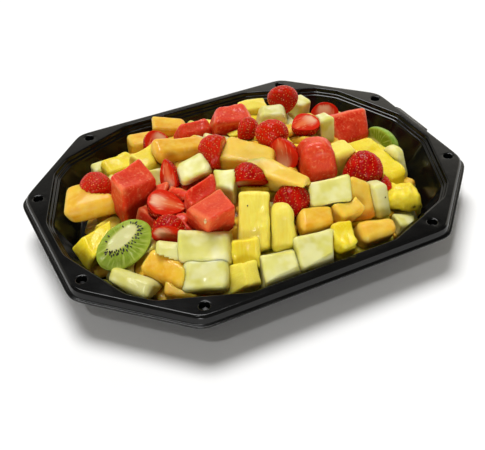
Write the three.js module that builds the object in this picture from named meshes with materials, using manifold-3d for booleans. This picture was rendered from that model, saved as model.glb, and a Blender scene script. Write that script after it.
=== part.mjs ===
// A catering fruit salad: hand-cut fruit heaped in a black octagonal thermoformed tray.
// Millimetres, +Z up. X runs along the tray, and the origin is under the middle of its footprint.

import * as THREE from 'three';
import { ConvexGeometry } from 'three/addons/geometries/ConvexGeometry.js';
import { mergeVertices } from 'three/addons/utils/BufferGeometryUtils.js';
import Module from 'manifold-3d';

const wasm = await Module();
wasm.setup();

// ---- Driving dimensions: the tray ----

const FLANGE_LENGTH = 350;      // octagonal flange, over its top edge
const FLANGE_WIDTH = 267;
const CORNER_CUT = 70.4;        // leg of each 45 degree corner
const TRAY_HEIGHT = 38;
const WALL = 1.1;               // sheet thickness
const BRIM_REACH = 4.5;         // brim outside the flange's edge
const BRIM_BOTTOM = 29.8;
const BRIM_TOP = 31.4;
const TAB_REACH = 4.4;          // lift tab outside the brim, on the right end
const TAB_FROM = -6;
const TAB_TO = 44;
const DIMPLE_RADIUS = 4;
const DIMPLE_DEPTH = 5;
const DIMPLES = [[98.6, 123.6], [166.3, 56]];   // one of each pair in one quarter of the flange
const MOUTH_LENGTH = 338;       // the opening inside the flange
const MOUTH_WIDTH = 253.6;
const MOUTH_CORNER = 161.6;     // distance of its 45 degree sides from the middle
const MOUTH_FACETS = [[22.4, 164.8], [68.7, 140.65]];   // turned sides between: degrees, distance

// ---- Driving dimensions: the fruit ----

const CLEARANCE = 0.3;          // between neighbouring pieces
const HEAP_CROWN = 42;          // above the flange
const HEAP_EDGE = -10;
const HEAP_REACH = [165, 128];  // half length and half width where the heap's surface reaches its edge
const HEAP_FULLNESS = 2.2;
const BED_DEPTH = 17;           // from the heap's surface down to the bed under the laid pieces
const CHUNK_EDGE = 2.4;         // softened edge of a cut chunk
const CHUNK_UNEVENNESS = 0.07;  // of a corner's distance from the chunk's middle

const radians = THREE.MathUtils.degToRad;

// ---- Manifold in and out ----

function solid(geometry) {
  const bare = geometry.clone();
  bare.deleteAttribute('normal');
  bare.deleteAttribute('uv');
  const merged = mergeVertices(bare, 1e-5);
  return new wasm.Manifold(new wasm.Mesh({
    numProp: 3,
    vertProperties: new Float32Array(merged.attributes.position.array),
    triVerts: new Uint32Array(merged.index.array),
  }));
}

function geometryOf(manifold) {
  const mesh = manifold.getMesh();
  const geometry = new THREE.BufferGeometry();
  geometry.setAttribute('position', new THREE.BufferAttribute(new Float32Array(mesh.vertProperties), 3));
  geometry.setIndex(new THREE.BufferAttribute(new Uint32Array(mesh.triVerts), 1));
  geometry.computeVertexNormals();
  return geometry;
}

function largestPart(manifold) {
  const parts = manifold.decompose();
  parts.sort((a, b) => b.volume() - a.volume());
  return parts[0];
}

// ---- Outlines: convex polygons seen from the middle, with rounded corners ----

// sides: [direction in degrees, distance from the middle]; sharpness: higher is a tighter corner.
function outline(sides, sharpness) {
  return (angle, offset) => {
    let sum = 0;
    let peak = 0;
    const pulls = sides.map(([degrees, distance]) => {
      const pull = Math.max(0, Math.cos(angle - radians(degrees)) / (distance + offset));
      peak = Math.max(peak, pull);
      return pull;
    });
    for (const pull of pulls) {
      sum += (pull / peak) ** sharpness;
    }
    return 1 / (peak * sum ** (1 / sharpness));
  };
}

// Repeats one quarter's sides round the four quarters.
function fourQuarters(endDistance, sideDistance, between) {
  const sides = [[0, endDistance], [90, sideDistance], [180, endDistance], [270, sideDistance]];
  for (const [degrees, distance] of between) {
    for (const turned of [degrees, 180 - degrees, 180 + degrees, 360 - degrees]) {
      sides.push([turned, distance]);
    }
  }
  return sides;
}

const flangeCorner = (FLANGE_LENGTH + FLANGE_WIDTH) / 2 - CORNER_CUT;
const flangeOutline = outline(
  fourQuarters(FLANGE_LENGTH / 2, FLANGE_WIDTH / 2, [[45, flangeCorner / Math.SQRT2]]), 75);
const mouthOutline = outline(
  fourQuarters(MOUTH_LENGTH / 2, MOUTH_WIDTH / 2, [[45, MOUTH_CORNER], ...MOUTH_FACETS]), 260);

// Directions of the rings' points: round each flange corner, and at each corner of the mouth.
function ringAngles() {
  const quarter = [];
  const longCorner = Math.atan2(FLANGE_WIDTH / 2, FLANGE_LENGTH / 2 - CORNER_CUT);
  const shortCorner = Math.atan2(FLANGE_WIDTH / 2 - CORNER_CUT, FLANGE_LENGTH / 2);
  for (const corner of [shortCorner, longCorner]) {
    for (const step of [-2.6, 2.6]) {
      quarter.push(corner + radians(step));
    }
  }
  for (const degrees of [7.4, 30.9, 38.6, 63.9]) {
    quarter.push(radians(degrees));
  }
  const all = [];
  for (const angle of quarter) {
    all.push(angle, Math.PI - angle, Math.PI + angle, 2 * Math.PI - angle);
  }
  return all.sort((a, b) => a - b);
}

// Joins rings of equal length into a closed skin; the first and last rings close on the axis.
function loft(rings, bottomZ, topZ) {
  const points = [0, 0, bottomZ];
  const faces = [];
  const count = rings[0].length;
  for (const ring of rings) {
    for (const [x, y, z] of ring) {
      points.push(x, y, z);
    }
  }
  points.push(0, 0, topZ);
  const last = 1 + rings.length * count;
  for (let i = 0; i < count; i += 1) {
    const next = (i + 1) % count;
    faces.push(0, 1 + next, 1 + i);
    for (let r = 0; r + 1 < rings.length; r += 1) {
      const a = 1 + r * count + i;
      const b = 1 + r * count + next;
      faces.push(a, b, b + count, a, b + count, a + count);
    }
    faces.push(last, last - count + i, last - count + next);
  }
  const geometry = new THREE.BufferGeometry();
  geometry.setAttribute('position', new THREE.Float32BufferAttribute(points, 3));
  geometry.setIndex(faces);
  return geometry;
}

function ring(shape, offset, z, angles) {
  return angles.map((angle) => {
    const reach = shape(angle, offset);
    return [reach * Math.cos(angle), reach * Math.sin(angle), z];
  });
}

// ---- The tray ----

// The sheet's section from the base's underside, out over the flange and down inside.
function traySection() {
  const top = TRAY_HEIGHT;
  const under = top - WALL;
  return [
    [mouthOutline, -21.5, 0],
    [mouthOutline, -18.4, 1.4],
    [mouthOutline, -16.6, 5.2],
    [mouthOutline, -4.2, 28.6],
    [mouthOutline, 0.9, 34.2],
    [mouthOutline, 0.9, under],
    [flangeOutline, -1.2, under],
    [flangeOutline, 1, BRIM_BOTTOM],
    [flangeOutline, BRIM_REACH, BRIM_BOTTOM],
    [flangeOutline, BRIM_REACH, BRIM_TOP],
    [flangeOutline, 2.2, BRIM_TOP],
    [flangeOutline, 1, 36.4],
    [flangeOutline, -0.5, top],
    [mouthOutline, 0.8, top],
    [mouthOutline, 0, top - 0.8],
    [mouthOutline, -0.5, top - 3.4],
    [mouthOutline, -1.9, top - 3.8],
    [mouthOutline, -2.4, top - 5.6],
    [mouthOutline, -3.9, top - 6],
    [mouthOutline, -4.4, top - 7.6],
    [mouthOutline, -17.6, 6],
    [mouthOutline, -19.2, 2.4],
    [mouthOutline, -21.8, WALL],
  ];
}

function dimpleCentres() {
  const centres = [];
  for (const [x, y] of DIMPLES) {
    centres.push([x, y], [-x, y], [x, -y], [-x, -y]);
  }
  return centres;
}

function turned(profile, segments) {
  const points = profile.map(([r, z]) => new THREE.Vector2(r, z));
  return new THREE.LatheGeometry(points, segments).rotateX(Math.PI / 2);
}

function trayTab() {
  const brim = FLANGE_LENGTH / 2 + BRIM_REACH;
  const shape = new THREE.Shape([
    new THREE.Vector2(brim - 3, TAB_FROM),
    new THREE.Vector2(brim + TAB_REACH - 1.5, TAB_FROM),
    new THREE.Vector2(brim + TAB_REACH, TAB_FROM + 1.5),
    new THREE.Vector2(brim + TAB_REACH, TAB_TO - 6),
    new THREE.Vector2(brim + TAB_REACH - 1.5, TAB_TO - 2),
    new THREE.Vector2(brim - 3, TAB_TO),
  ]);
  const thickness = BRIM_TOP - BRIM_BOTTOM - 0.2;
  const plate = new THREE.ExtrudeGeometry(shape, { depth: thickness, bevelEnabled: false });
  return plate.translate(0, 0, BRIM_BOTTOM + 0.1);
}

function traySolid() {
  const angles = ringAngles();
  const rings = traySection().map(([shape, offset, z]) => ring(shape, offset, z, angles));
  let tray = solid(loft(rings, 0, WALL));
  const floor = TRAY_HEIGHT - DIMPLE_DEPTH;
  const cup = turned([[0, floor - WALL], [5, floor - WALL], [5.2, TRAY_HEIGHT - 0.8],
    [0, TRAY_HEIGHT - 0.8]], 8);
  const well = turned([[0, floor], [DIMPLE_RADIUS - 0.4, floor], [DIMPLE_RADIUS, TRAY_HEIGHT - 1],
    [DIMPLE_RADIUS + 1.2, TRAY_HEIGHT + 0.2], [0, TRAY_HEIGHT + 0.2]], 8);
  for (const [x, y] of dimpleCentres()) {
    tray = tray.add(solid(cup.clone().translate(x, y, 0)));
    tray = tray.subtract(solid(well.clone().translate(x, y, 0)));
  }
  return tray.add(solid(trayTab()));
}

// The space that the fruit may fill: inside the walls, and straight up from the mouth.
function fruitRoom() {
  const angles = ringAngles();
  const rings = [
    [-22.8, WALL + CLEARANCE], [-20.2, 2.8], [-18.7, 6.3], [-4.7, 33.8], [-4.7, 160],
  ].map(([offset, z]) => ring(mouthOutline, offset, z, angles));
  return solid(loft(rings, WALL + CLEARANCE, 160));
}

// ---- The heap ----

function heapHeight(x, y) {
  const outward = (Math.abs(x) / HEAP_REACH[0]) ** HEAP_FULLNESS
    + (Math.abs(y) / HEAP_REACH[1]) ** HEAP_FULLNESS;
  return HEAP_EDGE + (HEAP_CROWN - HEAP_EDGE) * Math.max(0, 1 - outward);
}

const bedOutline = outline(
  [[0, 138], [90, 118], [180, 150], [270, 122], [45, 140], [135, 124], [225, 150], [315, 146]], 14);

// The bed of buried fruit, one lumpy solid that reaches below the tray's floor.
function bedSolid(grow) {
  const spokes = 24;
  const steps = 5;
  const rise = 4.5 * grow;      // wider rings sit lower on the heap's slope
  const angles = Array.from({ length: spokes }, (_, i) => (2 * Math.PI * (i + 0.5)) / spokes);
  const rings = [angles.map((angle) => {
    const reach = bedOutline(angle, grow);
    return [reach * Math.cos(angle), reach * Math.sin(angle), -4];
  })];
  for (let step = 0; step < steps; step += 1) {
    rings.push(angles.map((angle) => {
      const reach = bedOutline(angle, grow) * (1 - step / steps);
      const x = reach * Math.cos(angle);
      const y = reach * Math.sin(angle);
      const lumps = 2.5 * Math.sin(x / 14 + 1) * Math.cos(y / 13);
      const slope = step === 0 ? -2 : 0;
      return [x, y, TRAY_HEIGHT + heapHeight(x, y) - BED_DEPTH + lumps + slope + rise];
    }));
  }
  const crown = TRAY_HEIGHT + HEAP_CROWN - BED_DEPTH + rise;
  return solid(loft(rings, -4, crown));
}

// ---- Fruit forms, each about its own middle ----

// A small repeatable unevenness for corner number `index` of piece number `seed`.
function uneven(seed, index) {
  return Math.sin(seed * 12.9898 + index * 78.233);
}

// A hand-cut chunk: an uneven box with an optional narrower or crowned top and soft edges.
// Its pulled corners are drawn along the tray and upwards, each by its own two lengths.
function chunk({ size, turn, top = [1, 1], crown = 0, pull = {}, seed }, grow, rough) {
  const half = size.map((value) => value / 2 + grow);
  const intoChunk = axesOf({ turn }).invert();
  const corners = [];
  for (let i = 0; i < 8; i += 1) {
    const sign = [i & 1 ? 1 : -1, i & 2 ? 1 : -1, i & 4 ? 1 : -1];
    const [narrowX, narrowY] = i & 4 ? top : [1, 1];
    const [along, up] = pull[i] ?? [0, 0];
    corners.push(new THREE.Vector3(
      sign[0] * half[0] * narrowX,
      sign[1] * half[1] * narrowY,
      sign[2] * half[2],
    ).multiplyScalar(1 + CHUNK_UNEVENNESS * uneven(seed, i))
      .add(new THREE.Vector3(along, 0, up).applyMatrix4(intoChunk)));
  }
  const points = rough ? [...corners] : corners.flatMap((corner, i) => softened(corners, corner, i));
  if (crown > 0) {
    for (const [u, v] of [[0, 0], [0.5, 0], [-0.5, 0], [0, 0.5], [0, -0.5]]) {
      const rise = crown * (u === v ? 1 : 0.75);
      points.push(new THREE.Vector3(u * half[0] * top[0], v * half[1] * top[1], half[2] + rise));
    }
  }
  return solid(new ConvexGeometry(points));
}

// The three points that soften corner number i of a box, each set back along two of its edges.
function softened(corners, corner, i) {
  const [x, y, z] = [1, 2, 4].map((bit) => {
    return corners[i ^ bit].clone().sub(corner).setLength(CHUNK_EDGE);
  });
  return [[x, y], [x, z], [y, z]].map(([one, other]) => corner.clone().add(one).add(other));
}

// Keeps the side of a solid below a plane across local axis `axis`.
function cutAcross(body, axis, at) {
  const reach = 200;
  const centre = new THREE.Vector3();
  centre.setComponent(axis, at - reach / 2);
  const block = new THREE.BoxGeometry(reach, reach, reach).translate(centre.x, centre.y, centre.z);
  return body.intersect(solid(block));
}

// A strawberry: pointed end up its local Z, an optional cut face across local Y.
function strawberry({ size, cut }, grow, rough) {
  const [length, width] = size;
  const steps = 5;
  const segments = rough ? 8 : 10;
  const swell = rough ? 1 / Math.cos(Math.PI / segments) : 1;
  const profile = [new THREE.Vector2(0, -length / 2 - grow)];
  for (let i = 1; i < steps; i += 1) {
    const s = i / steps;
    const radius = (width / 2) * Math.sin(Math.PI * s ** 0.72) ** 0.72;
    profile.push(new THREE.Vector2(swell * (radius + grow), (s - 0.5) * length));
  }
  profile.push(new THREE.Vector2(0, length / 2 + grow));
  const berry = solid(new THREE.LatheGeometry(profile, segments).rotateX(Math.PI / 2));
  return cut === undefined ? berry : cutAcross(berry, 1, cut + grow);
}

// A peeled kiwi piece: an egg-shaped body with one cut face across local Z.
function kiwi({ size, cut }, grow, rough) {
  const steps = 6;
  const segments = rough ? 8 : 14;
  const swell = rough ? 1 / Math.cos(Math.PI / segments) : 1;
  const profile = [];
  for (let i = 0; i <= steps; i += 1) {
    const angle = (Math.PI * i) / steps - Math.PI / 2;
    profile.push(new THREE.Vector2(swell * Math.cos(angle) * 0.5, Math.sin(angle) * 0.5));
  }
  profile[0].x = 0;
  profile[steps].x = 0;
  const egg = new THREE.LatheGeometry(profile, segments).rotateX(Math.PI / 2);
  egg.scale(size[0] + 2 * grow, size[1] + 2 * grow, size[2] + 2 * grow);
  return cutAcross(solid(egg), 2, cut + grow);
}

const FORMS = {
  watermelon: chunk,
  cantaloupe: chunk,
  honeydew: chunk,
  pineapple: chunk,
  strawberry,
  kiwi,
};

// ---- The laid pieces ----
//
// at: the piece's middle, its height counted from the flange's top face.
// turn: degrees about Z, then about the piece's own X (positive tips its top to the front), then own Y.
// pull: for numbered corners of a chunk, how far they are drawn along the tray and upwards. The
// corner's number adds 1, 2 and 4 for its far side along the chunk's own X, Y and Z.
// tip and face: directions of a strawberry's point and of its cut face.
// face and along: directions of a kiwi's cut face and of its length.
// Earlier pieces lie over later ones, which are cut back to clear them. Sunk pieces are in the bed.

const PIECES = [
  { name: 'strawberry_left_end', kind: 'strawberry', at: [-123, 31, 11], size: [29, 29],
    tip: [-0.2, -0.6, 0.6], face: [0, -1, 0] },
  { name: 'strawberry_upper_left', kind: 'strawberry', at: [-29, 1, 32], size: [31, 31],
    tip: [-0.6, -0.7, -0.3], face: [0.75, -0.6, 0], cut: 6 },
  { name: 'strawberry_summit', kind: 'strawberry', at: [22, -2, 34], size: [29, 28],
    tip: [-0.35, -0.7, -0.6], face: [0, -1, 0] },
  { name: 'strawberry_back', kind: 'strawberry', at: [66, 58, 25], size: [27, 28],
    tip: [-0.3, -0.75, -0.6], face: [0, -1, 0] },
  { name: 'strawberry_half_right', kind: 'strawberry', at: [59, 9, 29], size: [28, 24],
    tip: [-0.95, -0.2, 0], face: [0.05, -0.15, 1], cut: 2 },
  { name: 'strawberry_quarter', kind: 'strawberry', at: [21, -21, 29], size: [29, 30],
    tip: [0.1, 0.5, 0.85], face: [-0.8, -0.55, 0.2], cut: 2 },
  { name: 'strawberry_half_middle', kind: 'strawberry', at: [-17, -39, 27], size: [30, 28],
    tip: [0.9, -0.35, -0.1], face: [-0.2, -0.7, -0.6], cut: 3 },
  { name: 'strawberry_front', kind: 'strawberry', at: [2, -66, 15], size: [38, 28],
    tip: [-0.85, -0.25, -0.25], face: [0, -1, 0] },
  { name: 'strawberry_right', kind: 'strawberry', at: [75, -56, 14], size: [41, 32],
    tip: [-0.95, -0.1, -0.15], face: [0, -1, 0] },
  { name: 'strawberry_half_left', kind: 'strawberry', at: [-83, -23, 16], size: [32, 26],
    tip: [0.85, -0.5, -0.3], face: [0.3, -0.4, 0.85], cut: 2 },
  { name: 'strawberry_half_front', kind: 'strawberry', at: [-91, -48, 9], size: [30, 28],
    tip: [0.8, -0.3, -0.5], face: [-0.5, -0.75, -0.3], cut: 3 },
  { name: 'pineapple_left_end', kind: 'pineapple', at: [-138, -17, -8], size: [38, 24, 20],
    turn: [14, 22, 8],
    pull: { 1: [-22, 1], 2: [-2, 2], 5: [-15, 11], 6: [6, -3], 7: [-4, 1] } },
  { name: 'kiwi_left', kind: 'kiwi', at: [-126, -39, 4], size: [48, 32, 24],
    face: [-0.3, -0.6, 0.75], along: [0.94, 0.22, 0.26], cut: 2 },
  { name: 'watermelon_left', kind: 'watermelon', at: [-99, 8, 14], size: [42, 30, 40],
    turn: [24, 10, 0], top: [0.92, 0.9],
    pull: { 1: [-10, 4], 2: [7, 1], 4: [-6, 5], 5: [-7, -8], 6: [3, 0], 7: [0, -3] } },
  { name: 'watermelon_front', kind: 'watermelon', at: [-61, -57, 13], size: [32, 31, 32],
    turn: [12, 20, 2],
    pull: { 0: [5, 11], 1: [1, 11], 2: [5, 4], 4: [-2, 12], 5: [-8, 13], 6: [-3, -2] } },
  { name: 'honeydew_middle', kind: 'honeydew', at: [-52, -4, 24], size: [31, 24, 24],
    turn: [4, 18, -10],
    pull: { 0: [0, 11], 1: [0, 11], 2: [3, 3], 5: [-6, -1], 6: [6, -2], 7: [2, -4] } },
  { name: 'cantaloupe_summit', kind: 'cantaloupe', at: [-5, -9, 26], size: [50, 28, 24],
    turn: [-40, 14, 0],
    pull: { 0: [0, 10], 6: [8, -2], 7: [-7, -7] } },
  { name: 'cantaloupe_slanted', kind: 'cantaloupe', at: [3, -44, 25], size: [56, 24, 20],
    turn: [-64, 20, 0],
    pull: { 1: [4, 5], 5: [7, 5], 7: [-3, -4] } },
  { name: 'pineapple_slab', kind: 'pineapple', at: [-33, -74, 16], size: [29, 16, 48],
    turn: [-22, -40, 0],
    pull: { 1: [-4, 4], 4: [5, -4], 5: [-1, -3], 6: [6, -3], 7: [-1, -4] } },
  { name: 'watermelon_right', kind: 'watermelon', at: [43, -40, 25], size: [38, 34, 38],
    turn: [-20, 0, 0], top: [0.8, 0.75], crown: 4,
    pull: { 0: [8, 7], 1: [-2, 10], 2: [0, 6], 5: [-4, 3], 6: [1, -4], 7: [-2, -5] } },
  { name: 'watermelon_back_right', kind: 'watermelon', at: [106, 14, 4], size: [40, 36, 26],
    turn: [0, 50, 0], top: [1, 0.95],
    pull: { 0: [6, 6], 4: [1, 9], 5: [-6, 8], 7: [3, -1] } },
  { name: 'strawberry_half_back', kind: 'strawberry', at: [105, 48, 1], size: [28, 26],
    tip: [-0.2, -0.5, -0.8], face: [-0.34, -0.7, 0.63], cut: 0 },
  { name: 'strawberry_wedge', kind: 'strawberry', at: [-70, 3, 23], size: [28, 20],
    tip: [0.1, 0.5, 0.8], face: [-0.9, -0.4, 0.2], cut: 1 },
  { name: 'strawberry_back_left', kind: 'strawberry', at: [-57, 64, 13], size: [26, 25],
    tip: [-0.7, -0.5, -0.4], face: [0.2, -0.6, 0.75], cut: 3 },
  { name: 'cantaloupe_back_stick', kind: 'cantaloupe', at: [-46, 33, 17], size: [49, 22, 20],
    turn: [-8, 14, 0],
    pull: { 0: [3, 10], 4: [1, 8], 5: [-5, 5], 6: [2, 6] } },
  { name: 'cantaloupe_left_end', kind: 'cantaloupe', at: [-128, 26, 2], size: [43, 32, 20],
    turn: [-10, 10, -12], crown: 2,
    pull: { 0: [-3, 6], 1: [-7, 2], 4: [-5, 4], 5: [-3, 1], 6: [4, 3] } },
  { name: 'honeydew_front_upper', kind: 'honeydew', at: [-75, -76, 8], size: [41, 28, 18],
    turn: [-26, 40, 0],
    pull: { 4: [0, 4], 5: [-5, 5], 7: [-6, -5] } },
  { name: 'honeydew_front_lower', kind: 'honeydew', at: [-85, -93, -3], size: [36, 26, 20],
    turn: [-22, 40, 0],
    pull: { 5: [-3, 4], 6: [5, -2] } },
  { name: 'honeydew_front_right', kind: 'honeydew', at: [-1, -109, -3], size: [31, 31, 20],
    turn: [-10, 45, 0],
    pull: { 4: [0, 4], 5: [-9, 9], 7: [2, -2] } },
  { name: 'honeydew_front_middle', kind: 'honeydew', at: [-30, -111, -6], size: [32, 30, 20],
    turn: [-12, 45, 0],
    pull: { 4: [-2, 7], 5: [-7, 12], 7: [-7, -4] } },
  { name: 'honeydew_bar', kind: 'honeydew', at: [34, -72, 16], size: [36, 22, 18],
    turn: [-14, 32, 0],
    pull: { 1: [0, 4], 5: [-4, 1] } },
  { name: 'cantaloupe_upright', kind: 'cantaloupe', at: [59, -80, 10], size: [18, 18, 36],
    turn: [-26, -35, 0],
    pull: { 1: [6, -2], 5: [-1, -10], 7: [-3, -9] } },
  { name: 'pineapple_round', kind: 'pineapple', at: [-13, -87, 10], size: [23, 18, 34],
    turn: [-22, -35, 0], crown: 3,
    pull: { 1: [-3, 5], 5: [-5, 2], 7: [-7, 0] } },
  { name: 'pineapple_front_wedge', kind: 'pineapple', at: [-58, -105, -6], size: [32, 22, 24],
    turn: [-10, 35, 20], top: [0.4, 0.8] },
  { name: 'cantaloupe_front_right', kind: 'cantaloupe', at: [58, -107, -7], size: [36, 20, 26],
    turn: [-5, 30, 0],
    pull: { 0: [3, 4], 1: [-4, 4], 5: [-6, 5], 7: [-1, -6] } },
  { name: 'pineapple_right_end', kind: 'pineapple', at: [101, -82, -3], size: [36, 26, 22],
    turn: [-22, 14, 0], top: [0.8, 0.85],
    pull: { 0: [-2, 8], 5: [-2, 3], 6: [6, -5], 7: [-6, -3] } },
  { name: 'pineapple_right_long', kind: 'pineapple', at: [102, -40, 0], size: [58, 26, 22],
    turn: [-88, 0, 0] },
  { name: 'cantaloupe_front_left', kind: 'cantaloupe', at: [-103, -76, -6], size: [42, 20, 20],
    turn: [-62, 28, 0] },
  { name: 'honeydew_left_corner', kind: 'honeydew', at: [-130, -70, -13], size: [41, 20, 18],
    turn: [-50, 38, 0],
    pull: { 1: [-8, 13], 4: [4, 8], 5: [-4, 8], 7: [-6, 1] } },
  { name: 'cantaloupe_cube', kind: 'cantaloupe', at: [13, -87, 7], size: [28, 20, 20],
    turn: [-8, 30, 0],
    pull: { 4: [-3, 4], 5: [-5, 5], 6: [5, 0], 7: [4, -4] } },
  { name: 'pineapple_eyed', kind: 'pineapple', at: [26, -108, -4], size: [19, 22, 28],
    turn: [-5, 20, 0],
    pull: { 0: [0, 5], 1: [-2, 8], 5: [-6, 2] } },
  { name: 'watermelon_slab', kind: 'watermelon', at: [-59, -28, 18], size: [36, 16, 24],
    turn: [18, 28, 0],
    pull: { 0: [4, -1], 2: [7, -3], 6: [6, -2] } },
  { name: 'watermelon_back', kind: 'watermelon', at: [12, 59, 18], size: [36, 28, 26],
    turn: [-10, 16, 0],
    pull: { 4: [-2, 5], 6: [10, -4], 7: [-2, -3] } },
  { name: 'watermelon_back_left', kind: 'watermelon', at: [-21, 66, 12], size: [34, 18, 18],
    turn: [0, 20, 0], top: [0.8, 0.8],
    pull: { 6: [1, 4], 7: [2, 1] } },
  { name: 'honeydew_back', kind: 'honeydew', at: [46, 44, 20], size: [30, 22, 22],
    turn: [-24, 10, 0], top: [0.7, 0.8] },
  { name: 'honeydew_back_right', kind: 'honeydew', at: [91, 70, 3], size: [20, 20, 26],
    turn: [20, 0, 0],
    pull: { 0: [-2, 9], 1: [-4, 8], 5: [-4, -4], 7: [3, -4] } },
  { name: 'honeydew_green', kind: 'honeydew', at: [-37, -32, 22], size: [20, 22, 24],
    turn: [-34, 24, 0],
    pull: { 4: [7, 3], 5: [-1, 2] } },
  { name: 'pineapple_middle', kind: 'pineapple', at: [68, -34, 15], size: [22, 22, 26],
    turn: [0, 0, 0] },
  { name: 'kiwi_right', kind: 'kiwi', at: [127, -12, 1], size: [34, 24, 26],
    face: [-0.9, -0.3, 0.3], along: [0.2, 0.9, 0.1], cut: 4 },
  { name: 'honeydew_right_end', kind: 'honeydew', at: [122, -44, -1], size: [16, 18, 32],
    turn: [10, -20, 0],
    pull: { 1: [-4, 3], 5: [-4, -1] } },
  { name: 'honeydew_right_tip', kind: 'honeydew', at: [91, -101, -13], size: [20, 16, 14],
    turn: [-5, 10, 0],
    pull: { 5: [-7, -2], 7: [4, -9] } },
  { name: 'honeydew_seedy', kind: 'honeydew', at: [74, -84, 5], size: [14, 16, 28],
    turn: [0, -20, 0] },
  { name: 'honeydew_left_small', kind: 'honeydew', at: [-99, -64, 0], size: [19, 16, 22],
    turn: [-30, 20, 0] },
  { name: 'cantaloupe_back', kind: 'cantaloupe', at: [-29, 98, 3], size: [32, 20, 18],
    turn: [-20, 5, 0],
    pull: { 5: [-2, -3], 7: [-3, -4] } },
  { name: 'cantaloupe_back_small', kind: 'cantaloupe', at: [-60, 88, -3], size: [24, 20, 24],
    turn: [-4, 0, 0] },
  { name: 'cantaloupe_front_sliver', kind: 'cantaloupe', at: [-103, -92, -11], size: [24, 14, 16],
    turn: [-30, 20, 0] },
  { name: 'pineapple_back_left', kind: 'pineapple', at: [-93, 62, 1], size: [27, 20, 18],
    turn: [6, 10, 0] },
  { name: 'pineapple_front_small', kind: 'pineapple', at: [-50, -91, 4], size: [20, 16, 24],
    turn: [-22, -30, 0] },
  { name: 'cantaloupe_dark', kind: 'cantaloupe', at: [40, -88, 8], size: [22, 18, 18],
    turn: [10, 20, 0], sunk: true },
  { name: 'strawberry_dark', kind: 'strawberry', at: [13, 26, 28], size: [24, 19],
    tip: [-0.8, -0.3, -0.2], face: [0, -1, 0], sunk: true },
  { name: 'strawberry_hidden', kind: 'strawberry', at: [88, -68, 4], size: [22, 20],
    tip: [0.3, -0.8, 0.2], face: [0, -1, 0], sunk: true },
  { name: 'honeydew_strip', kind: 'honeydew', at: [76, 4, 22], size: [14, 18, 24],
    turn: [0, -10, 0], sunk: true },
  { name: 'honeydew_tip', kind: 'honeydew', at: [-107, 70, -4], size: [14, 14, 18],
    turn: [0, 0, 0], sunk: true },
  { name: 'pineapple_back', kind: 'pineapple', at: [44, 74, 10], size: [26, 18, 20],
    turn: [-10, 0, 0], sunk: true },
  { name: 'pineapple_under_stick', kind: 'pineapple', at: [-72, 42, 12], size: [26, 20, 20],
    turn: [20, 10, 0], sunk: true },
  { name: 'pineapple_strip', kind: 'pineapple', at: [-59, -88, 2], size: [14, 14, 26],
    turn: [-10, -20, 0], sunk: true },
  { name: 'pineapple_green', kind: 'pineapple', at: [-94, -78, 0], size: [16, 16, 18],
    turn: [-30, 0, 0], sunk: true },
];

// The piece's own axes in the tray's frame.
function axesOf({ turn, tip, face, along }) {
  const matrix = new THREE.Matrix4();
  if (turn) {
    const [about, tipped, rolled] = turn.map(radians);
    return matrix.makeRotationFromEuler(new THREE.Euler(tipped, rolled, about, 'ZXY'));
  }
  const first = new THREE.Vector3(...(tip ?? face)).normalize();
  const second = new THREE.Vector3(...(tip ? face : along));
  second.addScaledVector(first, -second.dot(first)).normalize();
  if (tip) {
    return matrix.makeBasis(second.clone().cross(first), second, first);
  }
  return matrix.makeBasis(second, first.clone().cross(second), first);
}

// The piece where it lies, `grow` millimetres fuller all round, with plainer facets if rough.
function laid(piece, index, grow, rough) {
  const [x, y, height] = piece.at;
  const matrix = axesOf(piece).setPosition(x, y, TRAY_HEIGHT + height);
  const form = FORMS[piece.kind]({ ...piece, seed: index + 1 }, grow, rough);
  return form.transform(matrix.elements);
}

// The space a piece keeps its neighbours out of.
function clearedRound(piece, index) {
  const facetSag = piece.kind === 'strawberry' || piece.kind === 'kiwi' ? 0.5 : 0.15;
  return laid(piece, index, CLEARANCE + facetSag, true);
}

// ---- Assembly ----

const LOOKS = {
  tray: { color: 0x141414, roughness: 0.25, metalness: 0 },
  bed: { color: 0xe0b050, roughness: 0.5, metalness: 0 },
  watermelon: { color: 0xd8382c, roughness: 0.4, metalness: 0 },
  cantaloupe: { color: 0xeebb55, roughness: 0.4, metalness: 0 },
  honeydew: { color: 0xe4e8b8, roughness: 0.4, metalness: 0 },
  pineapple: { color: 0xeadb3c, roughness: 0.4, metalness: 0 },
  strawberry: { color: 0xc01818, roughness: 0.35, metalness: 0 },
  kiwi: { color: 0x8cb83c, roughness: 0.35, metalness: 0 },
};

function named(name, body, look) {
  const mesh = new THREE.Mesh(geometryOf(body), new THREE.MeshStandardMaterial(LOOKS[look]));
  mesh.name = name;
  return mesh;
}

function fruitSolids() {
  const room = fruitRoom();
  const sunk = PIECES.filter((piece) => piece.sunk);
  let bed = bedSolid(0);
  let bedCleared = bedSolid(2 * CLEARANCE);
  for (const piece of sunk) {
    const index = PIECES.indexOf(piece);
    bed = bed.add(laid(piece, index, 0, false));
    bedCleared = bedCleared.add(clearedRound(piece, index));
  }
  const meshes = [];
  let above = null;
  PIECES.forEach((piece, index) => {
    if (piece.sunk) {
      return;
    }
    let body = laid(piece, index, 0, false).subtract(bedCleared).intersect(room);
    if (above) {
      body = body.subtract(above);
    }
    meshes.push(named(piece.name, largestPart(body), piece.kind));
    const cleared = clearedRound(piece, index);
    above = above ? above.add(cleared) : cleared;
  });
  meshes.push(named('fruit_bed', largestPart(bed.intersect(room)), 'bed'));
  return meshes;
}

const salad = new THREE.Group();
salad.add(named('tray', traySolid(), 'tray'));
salad.add(...fruitSolids());
// The lift tab makes the footprint longer to the right, so its middle is half a tab from the tray's.
salad.position.x = -TAB_REACH / 2;

export default salad;
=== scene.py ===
"""A fruit salad in a black octagonal catering tray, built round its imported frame.

Shapes are worked out in millimetres, with z up from the tray's base, and become metres in mesh_piece().
"""
import math
import random

import bpy
import numpy as np
from mathutils import Matrix, Vector


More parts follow.
